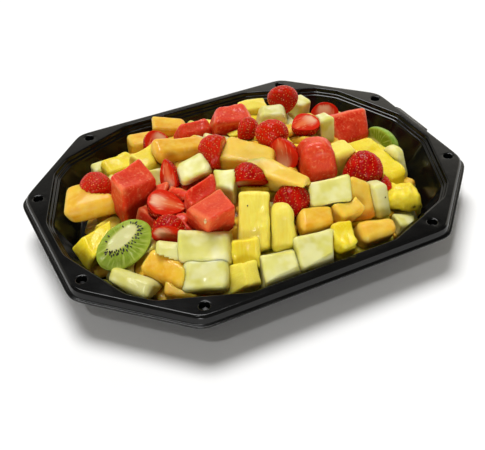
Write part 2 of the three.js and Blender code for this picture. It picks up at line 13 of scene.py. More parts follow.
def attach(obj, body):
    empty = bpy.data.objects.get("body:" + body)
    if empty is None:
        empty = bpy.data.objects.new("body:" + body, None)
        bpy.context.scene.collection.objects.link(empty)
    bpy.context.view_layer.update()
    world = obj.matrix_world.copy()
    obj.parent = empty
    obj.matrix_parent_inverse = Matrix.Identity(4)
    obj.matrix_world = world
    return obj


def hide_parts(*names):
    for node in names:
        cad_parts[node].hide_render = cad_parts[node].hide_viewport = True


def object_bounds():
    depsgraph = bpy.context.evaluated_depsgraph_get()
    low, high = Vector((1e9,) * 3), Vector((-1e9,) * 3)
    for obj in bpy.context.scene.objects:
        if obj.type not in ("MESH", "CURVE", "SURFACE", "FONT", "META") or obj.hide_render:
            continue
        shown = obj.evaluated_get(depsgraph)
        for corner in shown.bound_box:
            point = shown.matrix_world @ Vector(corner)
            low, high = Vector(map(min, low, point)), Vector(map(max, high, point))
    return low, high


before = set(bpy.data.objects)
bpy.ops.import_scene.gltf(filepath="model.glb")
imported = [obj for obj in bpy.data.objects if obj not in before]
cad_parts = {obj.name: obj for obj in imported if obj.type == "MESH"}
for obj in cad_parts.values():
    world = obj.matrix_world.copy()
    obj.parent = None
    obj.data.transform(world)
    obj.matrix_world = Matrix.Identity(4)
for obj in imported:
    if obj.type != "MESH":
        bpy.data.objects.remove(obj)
cad_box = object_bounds()

MM = 0.001
random.seed(11)

# ---- The tray's driving dimensions, as in part.mjs ----

FLANGE_LENGTH = 350.0
FLANGE_WIDTH = 267.0
CORNER_CUT = 70.4
TRAY_HEIGHT = 38.0
WALL = 1.1
BRIM_REACH = 4.5
BRIM_BOTTOM = 29.8
BRIM_TOP = 31.4
TAB_REACH = 4.4
TAB_FROM = -6.0
TAB_TO = 44.0
DIMPLE_RADIUS = 4.0
DIMPLE_DEPTH = 5.0
DIMPLES = [(98.6, 123.6), (166.3, 56.0)]
MOUTH_LENGTH = 338.0
MOUTH_WIDTH = 253.6
MOUTH_CORNER = 161.6
MOUTH_FACETS = [(22.4, 164.8), (68.7, 140.65)]
MOUTH_BENDS = [7.4, 30.9, 38.6, 63.9]     # directions of the mouth's corners in one quarter, degrees
MIDDLE_X = -TAB_REACH / 2                 # the tray's middle in the part's frame
FILLET = 0.55                             # rounding of the tray's bends

# ---- The fruit's driving dimensions ----

HEAP_CROWN = 42.0
HEAP_EDGE = -10.0
HEAP_REACH = (165.0, 128.0)
HEAP_FULLNESS = 2.2
BED_DEPTH = 17.0
BED_SIDES = [(0, 138), (90, 118), (180, 150), (270, 122), (45, 140), (135, 124), (225, 150), (315, 146)]
CORE_DEPTH = BED_DEPTH + 9.0
CHUNK_UNEVENNESS = 0.07
PRESS = 0.3                       # how far soft pieces press into each other
BURIED_GAP = 0.8                  # round the buried ones
FINE = 1.1                        # mesh spacing on laid pieces
COARSE = 2.2                      # mesh spacing on the buried ones

# ---- The laid pieces, in the order of part.mjs: an earlier one lies over a later one ----
#
# at: the middle, its height counted from the flange's top face. sunk: seen only as a sliver.
# turn: degrees about Z, own X, own Y. round: radius of the edges. top: how far the upper face narrows.
# pull: how far numbered corners of a chunk are drawn along the tray and upwards. crown: a domed top.
# lumpy: depth of an uneven skin side. eyes: directions from the middle, in its own axes, of the
# brown pits that a pineapple's skin leaves. specks: directions of loose seeds on its surface.
# tip and face: directions of a strawberry's point and of its cut face, `cut` from its middle.


def chunk(name, at, size, turn, **more):
    return dict(name=name, at=at, size=size, turn=turn, **more)


def berry(name, at, size, tip, face=(0, -1, 0), **more):
    return dict(name=name, at=at, size=size, tip=tip, face=face, **more)


def kiwi(name, at, size, face, along, **more):
    return dict(name=name, at=at, size=size, face=face, along=along, **more)


PIECES = [
    berry("strawberry_left_end", (-123, 31, 11), (29, 29), (-0.2, -0.6, 0.6)),
    berry("strawberry_upper_left", (-29, 1, 32), (31, 31), (-0.6, -0.7, -0.3), (0.75, -0.6, 0), cut=6),
    berry("strawberry_summit", (22, -2, 34), (29, 28), (-0.35, -0.7, -0.6)),
    berry("strawberry_back", (66, 58, 25), (27, 28), (-0.3, -0.75, -0.6)),
    berry("strawberry_half_right", (59, 9, 29), (28, 24), (-0.95, -0.2, 0), (0.05, -0.15, 1), cut=2),
    berry("strawberry_quarter", (21, -21, 29), (29, 30), (0.1, 0.5, 0.85), (-0.8, -0.55, 0.2), cut=2),
    berry("strawberry_half_middle", (-17, -39, 27), (30, 28), (0.9, -0.35, -0.1), (-0.2, -0.7, -0.6),
        cut=3),
    berry("strawberry_front", (2, -66, 15), (38, 28), (-0.85, -0.25, -0.25)),
    berry("strawberry_right", (75, -56, 14), (41, 32), (-0.95, -0.1, -0.15)),
    berry("strawberry_half_left", (-83, -23, 16), (32, 26), (0.85, -0.5, -0.3), (0.3, -0.4, 0.85), cut=2),
    berry("strawberry_half_front", (-91, -48, 9), (30, 28), (0.8, -0.3, -0.5), (-0.5, -0.75, -0.3), cut=3),
    chunk("pineapple_left_end", (-138, -17, -8), (38, 24, 20), (14, 22, 8),
        pull={1: (-22, 1), 2: (-2, 2), 5: (-15, 11), 6: (6, -3), 7: (-4, 1)}),
    kiwi("kiwi_left", (-126, -39, 4), (48, 32, 24), (-0.3, -0.6, 0.75), (0.94, 0.22, 0.26), cut=2),
    chunk("watermelon_left", (-99, 8, 14), (42, 30, 40), (24, 10, 0), round=4, top=(0.92, 0.9),
        pull={1: (-10, 4), 2: (7, 1), 4: (-6, 5), 5: (-7, -8), 6: (3, 0), 7: (0, -3)}),
    chunk("watermelon_front", (-61, -57, 13), (32, 31, 32), (12, 20, 2), round=3.5,
        specks=[(-0.57, -0.26, 0.78)],
        pull={0: (5, 11), 1: (1, 11), 2: (5, 4), 4: (-2, 12), 5: (-8, 13), 6: (-3, -2)}),
    chunk("honeydew_middle", (-52, -4, 24), (31, 24, 24), (4, 18, -10), round=7,
        pull={0: (0, 11), 1: (0, 11), 2: (3, 3), 5: (-6, -1), 6: (6, -2), 7: (2, -4)}),
    chunk("cantaloupe_summit", (-5, -9, 26), (50, 28, 24), (-40, 14, 0), round=5,
        pull={0: (0, 10), 6: (8, -2), 7: (-7, -7)}),
    chunk("cantaloupe_slanted", (3, -44, 25), (56, 24, 20), (-64, 20, 0),
        pull={1: (4, 5), 5: (7, 5), 7: (-3, -4)}),
    chunk("pineapple_slab", (-33, -74, 16), (29, 16, 48), (-22, -40, 0), round=3.2,
        specks=[(-0.35, -0.5, 0.9)], pull={1: (-4, 4), 4: (5, -4), 5: (-1, -3), 6: (6, -3), 7: (-1, -4)}),
    chunk("watermelon_right", (43, -40, 25), (38, 34, 38), (-20, 0, 0), round=9, top=(0.8, 0.75), crown=4,
        pull={0: (8, 7), 1: (-2, 10), 2: (0, 6), 5: (-4, 3), 6: (1, -4), 7: (-2, -5)}),
    chunk("watermelon_back_right", (106, 14, 4), (40, 36, 26), (0, 50, 0), round=5, top=(1, 0.95),
        pull={0: (6, 6), 4: (1, 9), 5: (-6, 8), 7: (3, -1)}),
    berry("strawberry_half_back", (105, 48, 1), (28, 26), (-0.2, -0.5, -0.8), (-0.34, -0.7, 0.63), cut=0),
    berry("strawberry_wedge", (-70, 3, 23), (28, 20), (0.1, 0.5, 0.8), (-0.9, -0.4, 0.2), cut=1),
    berry("strawberry_back_left", (-57, 64, 13), (26, 25), (-0.7, -0.5, -0.4), (0.2, -0.6, 0.75), cut=3),
    chunk("cantaloupe_back_stick", (-46, 33, 17), (49, 22, 20), (-8, 14, 0), round=6,
        pull={0: (3, 10), 4: (1, 8), 5: (-5, 5), 6: (2, 6)}),
    chunk("cantaloupe_left_end", (-128, 26, 2), (43, 32, 20), (-10, 10, -12), round=6, crown=2,
        pull={0: (-3, 6), 1: (-7, 2), 4: (-5, 4), 5: (-3, 1), 6: (4, 3)}),
    chunk("honeydew_front_upper", (-75, -76, 8), (41, 28, 18), (-26, 40, 0),
        pull={4: (0, 4), 5: (-5, 5), 7: (-6, -5)}),
    chunk("honeydew_front_lower", (-85, -93, -3), (36, 26, 20), (-22, 40, 0), round=5,
        pull={5: (-3, 4), 6: (5, -2)}),
    chunk("honeydew_front_right", (-1, -109, -3), (31, 31, 20), (-10, 45, 0),
        pull={4: (0, 4), 5: (-9, 9), 7: (2, -2)}),
    chunk("honeydew_front_middle", (-30, -111, -6), (32, 30, 20), (-12, 45, 0),
        pull={4: (-2, 7), 5: (-7, 12), 7: (-7, -4)}),
    chunk("honeydew_bar", (34, -72, 16), (36, 22, 18), (-14, 32, 0), pull={1: (0, 4), 5: (-4, 1)}),
    chunk("cantaloupe_upright", (59, -80, 10), (18, 18, 36), (-26, -35, 0), round=5,
        pull={1: (6, -2), 5: (-1, -10), 7: (-3, -9)}),
    chunk("pineapple_round", (-13, -87, 10), (23, 18, 34), (-22, -35, 0), round=7, crown=3,
        pull={1: (-3, 5), 5: (-5, 2), 7: (-7, 0)}),
    chunk("pineapple_front_wedge", (-58, -105, -6), (32, 22, 24), (-10, 35, 20), top=(0.4, 0.8)),
    chunk("cantaloupe_front_right", (58, -107, -7), (36, 20, 26), (-5, 30, 0), round=7,
        pull={0: (3, 4), 1: (-4, 4), 5: (-6, 5), 7: (-1, -6)}),
    chunk("pineapple_right_end", (101, -82, -3), (36, 26, 22), (-22, 14, 0), round=6.5, top=(0.8, 0.85),
        lumpy=0.9,
        eyes=[(0.9, -0.7, -0.25), (0.55, -0.9, -0.1), (0.1, -1, -0.45), (-0.5, -1, -0.3), (1, 0.2, 0)],
        pull={0: (-2, 8), 5: (-2, 3), 6: (6, -5), 7: (-6, -3)}),
    chunk("pineapple_right_long", (102, -40, 0), (58, 26, 22), (-88, 0, 0), round=4.5),
    chunk("cantaloupe_front_left", (-103, -76, -6), (42, 20, 20), (-62, 28, 0), round=5),
    chunk("honeydew_left_corner", (-130, -70, -13), (41, 20, 18), (-50, 38, 0), round=5,
        pull={1: (-8, 13), 4: (4, 8), 5: (-4, 8), 7: (-6, 1)}),
    chunk("cantaloupe_cube", (13, -87, 7), (28, 20, 20), (-8, 30, 0), round=4.5,
        pull={4: (-3, 4), 5: (-5, 5), 6: (5, 0), 7: (4, -4)}),
    chunk("pineapple_eyed", (26, -108, -4), (19, 22, 28), (-5, 20, 0), lumpy=1.2,
        eyes=[(0.8, -0.6, 0.9), (0.9, -0.8, 0.35), (0.8, -1, 0)], pull={0: (0, 5), 1: (-2, 8), 5: (-6, 2)}),
    chunk("watermelon_slab", (-59, -28, 18), (36, 16, 24), (18, 28, 0),
        pull={0: (4, -1), 2: (7, -3), 6: (6, -2)}),
    chunk("watermelon_back", (12, 59, 18), (36, 28, 26), (-10, 16, 0), round=5,
        pull={4: (-2, 5), 6: (10, -4), 7: (-2, -3)}),
    chunk("watermelon_back_left", (-21, 66, 12), (34, 18, 18), (0, 20, 0), round=5, top=(0.8, 0.8),
        pull={6: (1, 4), 7: (2, 1)}),
    chunk("honeydew_back", (46, 44, 20), (30, 22, 22), (-24, 10, 0), round=6, top=(0.7, 0.8)),
    chunk("honeydew_back_right", (91, 70, 3), (20, 20, 26), (20, 0, 0), round=5,
        pull={0: (-2, 9), 1: (-4, 8), 5: (-4, -4), 7: (3, -4)}),
    chunk("honeydew_green", (-37, -32, 22), (20, 22, 24), (-34, 24, 0), pull={4: (7, 3), 5: (-1, 2)}),
    chunk("pineapple_middle", (68, -34, 15), (22, 22, 26), (0, 0, 0), round=4.5),
    kiwi("kiwi_right", (127, -12, 1), (34, 24, 26), (-0.9, -0.3, 0.3), (0.2, 0.9, 0.1), cut=4,
        seedless=True),
    chunk("honeydew_right_end", (122, -44, -1), (16, 18, 32), (10, -20, 0), round=5.5,
        pull={1: (-4, 3), 5: (-4, -1)}),
    chunk("honeydew_right_tip", (91, -101, -13), (20, 16, 14), (-5, 10, 0), pull={5: (-7, -2), 7: (4, -9)}),
    chunk("honeydew_seedy", (74, -84, 5), (14, 16, 28), (0, -20, 0), specks=[(0.2, -1, 0.3)]),
    chunk("honeydew_left_small", (-99, -64, 0), (19, 16, 22), (-30, 20, 0)),
    chunk("cantaloupe_back", (-29, 98, 3), (32, 20, 18), (-20, 5, 0), pull={5: (-2, -3), 7: (-3, -4)}),
    chunk("cantaloupe_back_small", (-60, 88, -3), (24, 20, 24), (-4, 0, 0)),
    chunk("cantaloupe_front_sliver", (-103, -92, -11), (24, 14, 16), (-30, 20, 0)),
    chunk("pineapple_back_left", (-93, 62, 1), (27, 20, 18), (6, 10, 0), round=4),
    chunk("pineapple_front_small", (-50, -91, 4), (20, 16, 24), (-22, -30, 0)),
    chunk("cantaloupe_dark", (40, -88, 8), (22, 18, 18), (10, 20, 0), sunk=True),
    berry("strawberry_dark", (13, 26, 28), (24, 19), (-0.8, -0.3, -0.2), sunk=True),
    berry("strawberry_hidden", (88, -68, 4), (22, 20), (0.3, -0.8, 0.2), sunk=True),
    chunk("honeydew_strip", (76, 4, 22), (14, 18, 24), (0, -10, 0), sunk=True),
    chunk("honeydew_tip", (-107, 70, -4), (14, 14, 18), (0, 0, 0), sunk=True),
    chunk("pineapple_back", (44, 74, 10), (26, 18, 20), (-10, 0, 0), sunk=True),
    chunk("pineapple_under_stick", (-72, 42, 12), (26, 20, 20), (20, 10, 0), sunk=True),
    chunk("pineapple_strip", (-59, -88, 2), (14, 14, 26), (-10, -20, 0), sunk=True),
    chunk("pineapple_green", (-94, -78, 0), (16, 16, 18), (-30, 0, 0), sunk=True),
]


# ---- Small mathematics ----

NOISE_PRIMES = np.array([73856093, 19349663, 83492791])
NOISE_MASK = 0x7FFFFFFF


def unit(vectors):
    """Vectors drawn to length 1, along the last axis."""
    vectors = np.asarray(vectors, float)
    return vectors / np.maximum(np.linalg.norm(vectors, axis=-1, keepdims=True), 1e-6)


def lattice_noise(points, size, seed):
    """Smooth noise between -1 and 1 at points, with features of about `size`."""
    base = np.floor(points / size).astype(np.int64)
    ease = points / size - base
    ease = ease * ease * (3 - 2 * ease)
    total = np.zeros(len(points))
    for corner in range(8):
        bits = corner >> np.arange(3) & 1
        mixed = np.bitwise_xor.reduce((base + bits) * NOISE_PRIMES, axis=1)
        mixed = (mixed ^ (seed * 40503)) & NOISE_MASK
        for shift, factor in ((13, 1274126177), (16, 668265263)):
            mixed = ((mixed ^ (mixed >> shift)) * factor) & NOISE_MASK
        total += np.prod(np.where(bits, ease, 1 - ease), axis=1) * (mixed / (NOISE_MASK >> 1) - 1)
    return total


def uneven(seed, index):
    """The corner unevenness of part.mjs."""
    return math.sin(seed * 12.9898 + index * 78.233)


def outline(sides, sharpness):
    """Reach of a rounded convex polygon seen from its middle, as in part.mjs."""
    degrees, distances = np.array(sides, float).T
    directions = np.radians(degrees)

    def reach(angles, offset):
        pulls = np.cos(np.asarray(angles, float)[..., None] - directions) / (distances + offset)
        peak = pulls.max(axis=-1, keepdims=True)
        total = ((np.maximum(pulls, 0) / peak) ** sharpness).sum(axis=-1)
        return 1 / (peak[..., 0] * total ** (1 / sharpness))
    return reach


def mirrored(degrees):
    return degrees, 180 - degrees, 180 + degrees, 360 - degrees


def four_quarters(end, side, between):
    sides = [(0, end), (90, side), (180, end), (270, side)]
    return sides + [(turned, distance) for degrees, distance in between for turned in mirrored(degrees)]


FLANGE_CORNER = ((FLANGE_LENGTH + FLANGE_WIDTH) / 2 - CORNER_CUT) / math.sqrt(2)
MOUTH_SIDES = four_quarters(MOUTH_LENGTH / 2, MOUTH_WIDTH / 2, [(45, MOUTH_CORNER)] + MOUTH_FACETS)
flange_outline = outline(four_quarters(FLANGE_LENGTH / 2, FLANGE_WIDTH / 2, [(45, FLANGE_CORNER)]), 75)
mouth_outline = outline(MOUTH_SIDES, 260)
bed_outline = outline(BED_SIDES, 14)


def heap_height(x, y):
    outward = (np.abs(x) / HEAP_REACH[0]) ** HEAP_FULLNESS + (np.abs(y) / HEAP_REACH[1]) ** HEAP_FULLNESS
    return HEAP_EDGE + (HEAP_CROWN - HEAP_EDGE) * np.maximum(0, 1 - outward)


# ---- Meshes ----

def mesh_piece(name, parts, material):
    """One object from parts of points (mm), faces and per-point attributes."""
    faces = []
    start = 0
    for part in parts:
        faces += [[start + i for i in face] for face in part["faces"]]
        start += len(part["points"])
    mesh = bpy.data.meshes.new(name)
    mesh.from_pydata((np.concatenate([part["points"] for part in parts]) * MM).tolist(), [], faces)
    for key in parts[0].get("attributes", {}):
        values = np.concatenate([part["attributes"][key] for part in parts])
        kind, field = ("FLOAT_VECTOR", "vector") if values.ndim == 2 else ("FLOAT", "value")
        mesh.attributes.new(key, kind, "POINT").data.foreach_set(field, values.astype(np.float32).ravel())
    mesh.shade_smooth()
    mesh.materials.append(material)
    made = bpy.data.objects.new(name, mesh)
    bpy.context.scene.collection.objects.link(made)
    return made


def even_angles(count, shift=0.0):
    return 2 * math.pi * (np.arange(count) + shift) / count


def ring_of(angles, radius, height):
    """Points round the z axis, whose radius and height may differ from one to the next."""
    return np.stack([radius * np.cos(angles), radius * np.sin(angles), height + 0 * angles], axis=1)


def ringed(start, rings, end):
    """A closed solid from rings of points between two closing points."""
    segments = len(rings[0])
    last = (len(rings) - 1) * segments
    faces = []
    for j in range(segments):
        a, b = 1 + j, 1 + (j + 1) % segments
        faces.append((b, a, 0))
        for step in range(0, last, segments):
            faces.append((b + step, b + step + segments, a + step + segments, a + step))
        faces.append((b + last, last + segments + 1, a + last))
    return dict(points=np.concatenate([[start], *rings, [end]]), faces=faces)


def rounded_box(half, radius, spacing):
    """Points, outward directions and faces of a box with rounded edges."""
    bends = max(2, int(round(radius / BEND_STEP)))
    bend = radius * np.tan(math.pi / 4 * np.arange(1, bends + 1) / bends)
    ticks = []
    for reach in half - radius:
        flat = np.linspace(-reach, reach, max(2, int(round(2 * reach / spacing))) + 1)
        ticks.append(np.concatenate([-reach - bend[::-1], flat, reach + bend]))
    index = {}
    faces = []
    for axis in range(3):
        one, other = (axis + 1) % 3, (axis + 2) % 3
        for sign in (-1, 1):
            grid = np.full((len(ticks[one]), len(ticks[other]), 3), sign * half[axis])
            grid[..., one], grid[..., other] = np.meshgrid(ticks[one], ticks[other], indexing="ij")
            rows = [[index.setdefault(tuple(point), len(index)) for point in line]
                    for line in grid.round(4).tolist()]
            for near, far in zip(rows, rows[1:]):
                faces += [quad[::sign] for quad in zip(near, far, far[1:], near[1:])]
    points = np.array(list(index))
    inner = np.clip(points, radius - half, half - radius)
    outward = unit(points - inner)
    return inner + radius * outward, outward, faces


# ---- Chunks of melon and pineapple ----

GRAIN = {      # per kind: list of (amplitude, feature size) of the cut faces' unevenness, mm
    "watermelon": [(0.8, 10.0), (0.24, 3.0)],
    "cantaloupe": [(0.7, 12.0), (0.12, 3.5)],
    "honeydew": [(0.7, 12.0), (0.1, 3.5)],
    "pineapple": [(0.9, 8.0), (0.2, 3.0)],
}
EDGE_ROUND = {"watermelon": 2.3, "cantaloupe": 3.4, "honeydew": 3.0, "pineapple": 2.4}
BEND_STEP = 1.5                   # one mesh step round an edge for each so much radius
BULGE = 1.1                       # most that a face bulges or hollows
LUMP_SIZE = 6.0
FIBRE_DEPTH = 0.14
FIBRE_SIZE = 1.9
EYE_DEPTH = 1.2
EYE_RADIUS = 1.7
BOX_BITS = np.arange(8)[:, None] >> np.arange(3) & 1      # the corners of a box, numbered as in part.mjs
UPPER = slice(4, 8)
TOP_FACE = 5


def chunk_corners(piece, seed):
    corners = (2 * BOX_BITS - 1) * np.array(piece["size"]) / 2
    corners[UPPER, :2] *= piece.get("top", (1, 1))
    for i in range(8):
        along, up = piece.get("pull", {}).get(i, (0, 0))
        corners[i] *= 1 + CHUNK_UNEVENNESS * uneven(seed, i)
        corners[i] += np.array([along, 0, up]) @ axes_of(piece)
    return corners


def chunk_planes(corners):
    """Outward planes through the chunk's six faces: normals and distances."""
    normals = []
    distances = []
    for axis in range(3):
        bit, one, other = np.roll((1, 2, 4), -axis)
        for side in (0, bit):
            a, b, c, d = corners[[side, side | one | other, side | one, side | other]]
            middle = (a + b + c + d) / 4
            normal = unit(np.cross(b - a, d - c))
            normal *= np.sign(normal.dot(middle))
            normals.append(normal)
            distances.append(normal.dot(middle))
    return np.array(normals), np.array(distances)


def towards(points, direction):
    """Index of the point that lies most nearly in a direction from the middle."""
    return int(np.argmax(unit(points) @ unit(direction)))


def chunk_form(piece, seed, fine):
    kind = kind_of(piece)
    half = np.array(piece["size"]) / 2
    radius = piece.get("round", EDGE_ROUND[kind])
    crown = piece.get("crown", 0)
    points, outward, faces = rounded_box(half, radius, FINE if fine else COARSE)
    corners = chunk_corners(piece, seed)
    across = points / half
    part = ((across + 1) / 2)[:, None]
    moved = np.prod(np.where(BOX_BITS, part, 1 - part), axis=2) @ corners
    lift = np.prod(np.clip(1 - np.abs(across[:, :2]) ** 2.2, 0, 1), axis=1)
    moved[:, 2] += crown * lift * part[:, 0, 2] ** 2
    level = np.clip(1 - across ** 2, 0, 1)
    for axis in range(3):
        for sign in (-1, 1):
            facing = np.clip(sign * outward[:, axis], 0, 1) * level[:, axis - 1] * level[:, axis - 2]
            moved[:, axis] += sign * BULGE * uneven(seed + 3 * axis, 11 + sign) * facing
    swell = np.zeros(len(points))
    for amplitude, size in GRAIN[kind] + [(piece.get("lumpy", 0), LUMP_SIZE)]:
        swell += amplitude * lattice_noise(points + 31.7 * seed, size, seed)
    if kind == "pineapple":
        swell += FIBRE_DEPTH * lattice_noise(points * (1, 1, 0.16) + 17.3 * seed, FIBRE_SIZE, seed + 5)
    moved += outward * swell[:, None]
    pit = np.zeros(len(points))
    for eye in piece.get("eyes", []):
        near = np.linalg.norm(moved - moved[towards(moved, eye)], axis=1)
        pit = np.maximum(pit, np.exp(-(near / EYE_RADIUS) ** 2))
    moved -= outward * (EYE_DEPTH * pit)[:, None]
    normals, distances = chunk_planes(corners)
    distances[TOP_FACE] += 0.5 * crown

    def depth(local):
        reach = local @ normals.T - distances + radius
        outside = np.linalg.norm(np.maximum(reach, 0), axis=1)
        return outside + np.minimum(reach.max(axis=1), 0) - radius

    def marks(local):
        # For a chunk, core is its nearness to the edges, where the materials paint light glowing through the
        # thin flesh.
        nearness = np.sort(np.abs(local / half), axis=1)[:, 1]
        return dict(pit=pit, core=np.clip(nearness, 0, 1))
    return dict(local=moved, faces=faces, depth=depth, cut=np.zeros(len(points)), marks=marks,
                reach=float(np.linalg.norm(half)) * 1.1)


# ---- Strawberries ----

SEED_SPACING = 2.9
SEED_PIT_DEPTH = 0.8
SEED_PIT_RADIUS = 1.05
SEED_SINK = 0.975
GOLDEN_TURN = math.pi * (3 - math.sqrt(5))


def berry_radius(z, length, width):
    share = np.clip(z / length + 0.5, 0, 1)
    return width / 2 * np.maximum(np.sin(math.pi * share ** 0.72), 0) ** 0.72


def berry_warp(points, seed):
    """Makes a berry a little lopsided, the same for its skin and its seeds."""
    swell = 0.07 * lattice_noise(points + 47.1 * seed, 15.0, seed) - 0.02
    return points * (1 + swell)[:, None]


def berry_seed_places(length, width):
    """Places of the seeds on a berry's skin, in a spiral of even spacing."""
    z = np.linspace(-0.5, 0.5, 400) * length
    radius = berry_radius(z, length, width)
    stretch = np.sqrt(np.gradient(radius) ** 2 + np.gradient(z) ** 2)
    area = np.cumsum(2 * math.pi * radius * stretch)
    count = int(area[-1] / SEED_SPACING ** 2)
    number = np.arange(count)
    height = np.interp((number + 0.5) / count * area[-1], area, z) + [0.5 * uneven(i, 7) for i in number]
    around = number * GOLDEN_TURN + [0.12 * uneven(i, 3) for i in number]
    return ring_of(around, berry_radius(height, length, width), height)


def whole_berry(length, width, count, segments):
    rings = []
    for i in range(count):
        z = -0.5 * math.cos(math.pi * (i + 0.6) / (count + 0.2)) * length
        rings.append(ring_of(even_angles(segments, 0.5 * (i % 2)), berry_radius(z, length, width), z))
    return ringed((0, 0, -length / 2), rings, (0, 0, length / 2))


def cut_berry(length, width, cut, face_rings, side_rings, segments):
    """A berry with its part beyond local y = cut taken off, its rim exactly on one ring."""
    start = np.array([0.0, min(cut - 3.0, -width * 0.12), -0.06 * length])
    face_middle = np.array([start[0], cut, start[2]])
    back = np.array([[0.0, -1.0, 0.0]])

    def outside(points):
        radius = berry_radius(points[:, 2], length, width)
        return (np.hypot(points[:, 0], points[:, 1]) > radius) | (np.abs(points[:, 2]) > length / 2)

    def reach(origin, direction):
        return length * first_crossing(outside, origin, origin + direction * length)[:, None]
    flat = ring_of(even_angles(segments), 1, 0)[:, [0, 2, 1]]
    rim = reach(face_middle, flat)
    rings = [face_middle + flat * rim * (i + 1) / face_rings for i in range(face_rings)]
    rim_polar = np.arctan2(rim, cut - start[1])
    for i in range(side_rings):
        polar = rim_polar + (math.pi - rim_polar) * (i + 0.12) / side_rings
        direction = flat * np.sin(polar) - back * np.cos(polar)
        rings.append(start + direction * reach(start, direction))
    return ringed(face_middle, rings, (start + back * reach(start, back))[0])


def berry_form(piece, seed, fine):
    length, width = piece["size"]
    cut = piece.get("cut", math.inf)
    segments, rings = (88, 62) if fine else (40, 26)
    places = berry_seed_places(length, width)
    places = places[places[:, 1] < cut - 0.5]
    if cut == math.inf:
        solid = whole_berry(length, width, rings, segments)
        mask = np.zeros(len(solid["points"]))
    else:
        face_rings = rings // 3
        solid = cut_berry(length, width, cut, face_rings, rings - face_rings, segments)
        mask = np.where(np.arange(len(solid["points"])) <= face_rings * segments, 1.0, 0.0)
    points = solid["points"]
    near = np.min([np.linalg.norm(points - place, axis=1) for place in places], axis=0)
    pit = np.exp(-(near / SEED_PIT_RADIUS) ** 2) * (1 - mask)
    inward = unit(points * (1, 1, 0.5))
    plump = 0.12 * lattice_noise(points + 9.1 * seed, 2.2, seed) * (1 - 0.5 * mask)
    shaped = berry_warp(points - inward * (SEED_PIT_DEPTH * pit)[:, None], seed) + inward * plump[:, None]

    def depth(local):
        side = np.hypot(local[:, 0], local[:, 1]) - berry_radius(local[:, 2], length, width)
        ends = np.abs(local[:, 2]) - length / 2
        return np.maximum(np.maximum(side, ends), local[:, 1] - cut)

    def marks(local):
        radius = np.maximum(berry_radius(local[:, 2], length, width), 0.5)
        core = np.hypot(local[:, 0], local[:, 1]) / radius
        ends = np.clip(np.abs(local[:, 2]) / (length / 2), 0, 1)
        return dict(core=np.clip(np.maximum(core, ends ** 3), 0, 1), pit=pit)
    return dict(local=shaped, faces=solid["faces"], depth=depth, cut=mask, marks=marks,
                seeds=berry_warp(places * SEED_SINK, seed), reach=max(length, width) * 0.56)


# ---- Kiwi ----

KIWI_CORE_AT = np.array([0.1, 0.31])        # the pale core on the cut face, in shares of the half size
KIWI_CORE_SIZE = np.array([0.56, 0.34])
KIWI_RIM = 0.955                            # beyond this share the cut face turns down to its rim


def kiwi_form(piece, seed, _):
    """An egg-shaped piece with one cut face, which shows its core to one side."""
    half = np.array(piece["size"]) / 2
    cut = piece["cut"]
    segments, face_rings, side_rings = 120, 40, 36
    circle = ring_of(even_angles(segments), 1, 0) * half
    waist = math.sqrt(1 - (cut / half[2]) ** 2)
    rings = []
    for i in range(face_rings):
        share = (i + 1) / face_rings
        height = cut - 0.5 * max(0.0, share - KIWI_RIM) / (1 - KIWI_RIM)
        rings.append(circle * waist * share + (0, 0, height))
    start = math.asin(cut / half[2])
    for i in range(side_rings):
        angle = start - (start + math.pi / 2) * (i + 0.35) / side_rings
        rings.append(circle * math.cos(angle) + (0, 0, half[2] * math.sin(angle)))
    solid = ringed((0, 0, cut), rings, (0, 0, -half[2]))
    points = solid["points"]
    mask = np.where(np.arange(len(points)) <= face_rings * segments, 1.0, 0.0)
    swell = 0.5 * lattice_noise(points + 5.0 * seed, 9.0, seed) + 0.12 * lattice_noise(points, 2.5, seed)
    shaped = points + unit(points / half) * (swell * (1 - 0.8 * mask))[:, None]
    shaped[:, 2] += mask * 0.25 * lattice_noise(points, 6.0, seed + 3)

    def depth(local):
        scaled = np.linalg.norm(local / half, axis=1)
        return np.maximum((scaled - 1) * half.min(), local[:, 2] - cut)

    def marks(local):
        flat = local[:, :2] / half[:2]
        core = np.linalg.norm((flat - KIWI_CORE_AT) / KIWI_CORE_SIZE, axis=1)
        return dict(core=core, pit=np.linalg.norm(flat, axis=1) / waist)
    return dict(local=shaped, faces=solid["faces"], depth=depth, cut=mask, marks=marks,
                reach=float(half.max()) * 1.05)


def axes_of(piece):
    """Columns are the piece's own axes in the tray's frame, as in part.mjs."""
    if "turn" in piece:
        turns = zip(np.radians(piece["turn"]), "ZXY")
        about, tipped, rolled = (Matrix.Rotation(angle, 3, axis) for angle, axis in turns)
        return np.array(about @ tipped @ rolled)
    first = unit(piece.get("tip", piece["face"]))
    second = np.array(piece.get("along", piece["face"]), float)
    second = unit(second - second.dot(first) * first)
    if "tip" in piece:
        return np.stack([np.cross(second, first), second, first], axis=1)
    return np.stack([second, np.cross(first, second), first], axis=1)


def kind_of(piece):
    return piece["name"].split("_")[0]


def form_of(piece, seed, fine):
    forms = {"strawberry": berry_form, "kiwi": kiwi_form}
    return forms.get(kind_of(piece), chunk_form)(piece, seed, fine)


# ---- Laying the heap: each piece is cut back by the ones that lie over it ----

CEILING = cad_box[1][2] / MM - 0.1
FLOOR = 1.5
ROOM_WALL = [(1.4, -22.6), (2.8, -20.0), (6.3, -18.5), (33.8, -4.5), (200.0, -4.5)]
LEAST_ROOM = 0.6                  # a piece with less room than this is left out


def room_excess(points):
    """How far points are outside the space for fruit: the tray's hollow, up to the part's top."""
    offset = np.interp(points[:, 2], *zip(*ROOM_WALL))
    excess = np.maximum(FLOOR - points[:, 2], points[:, 2] - CEILING)
    for degrees, distance in MOUTH_SIDES:
        angle = math.radians(degrees)
        along = (points[:, 0] - MIDDLE_X) * math.cos(angle) + points[:, 1] * math.sin(angle)
        excess = np.maximum(excess, along - distance - offset)
    return excess


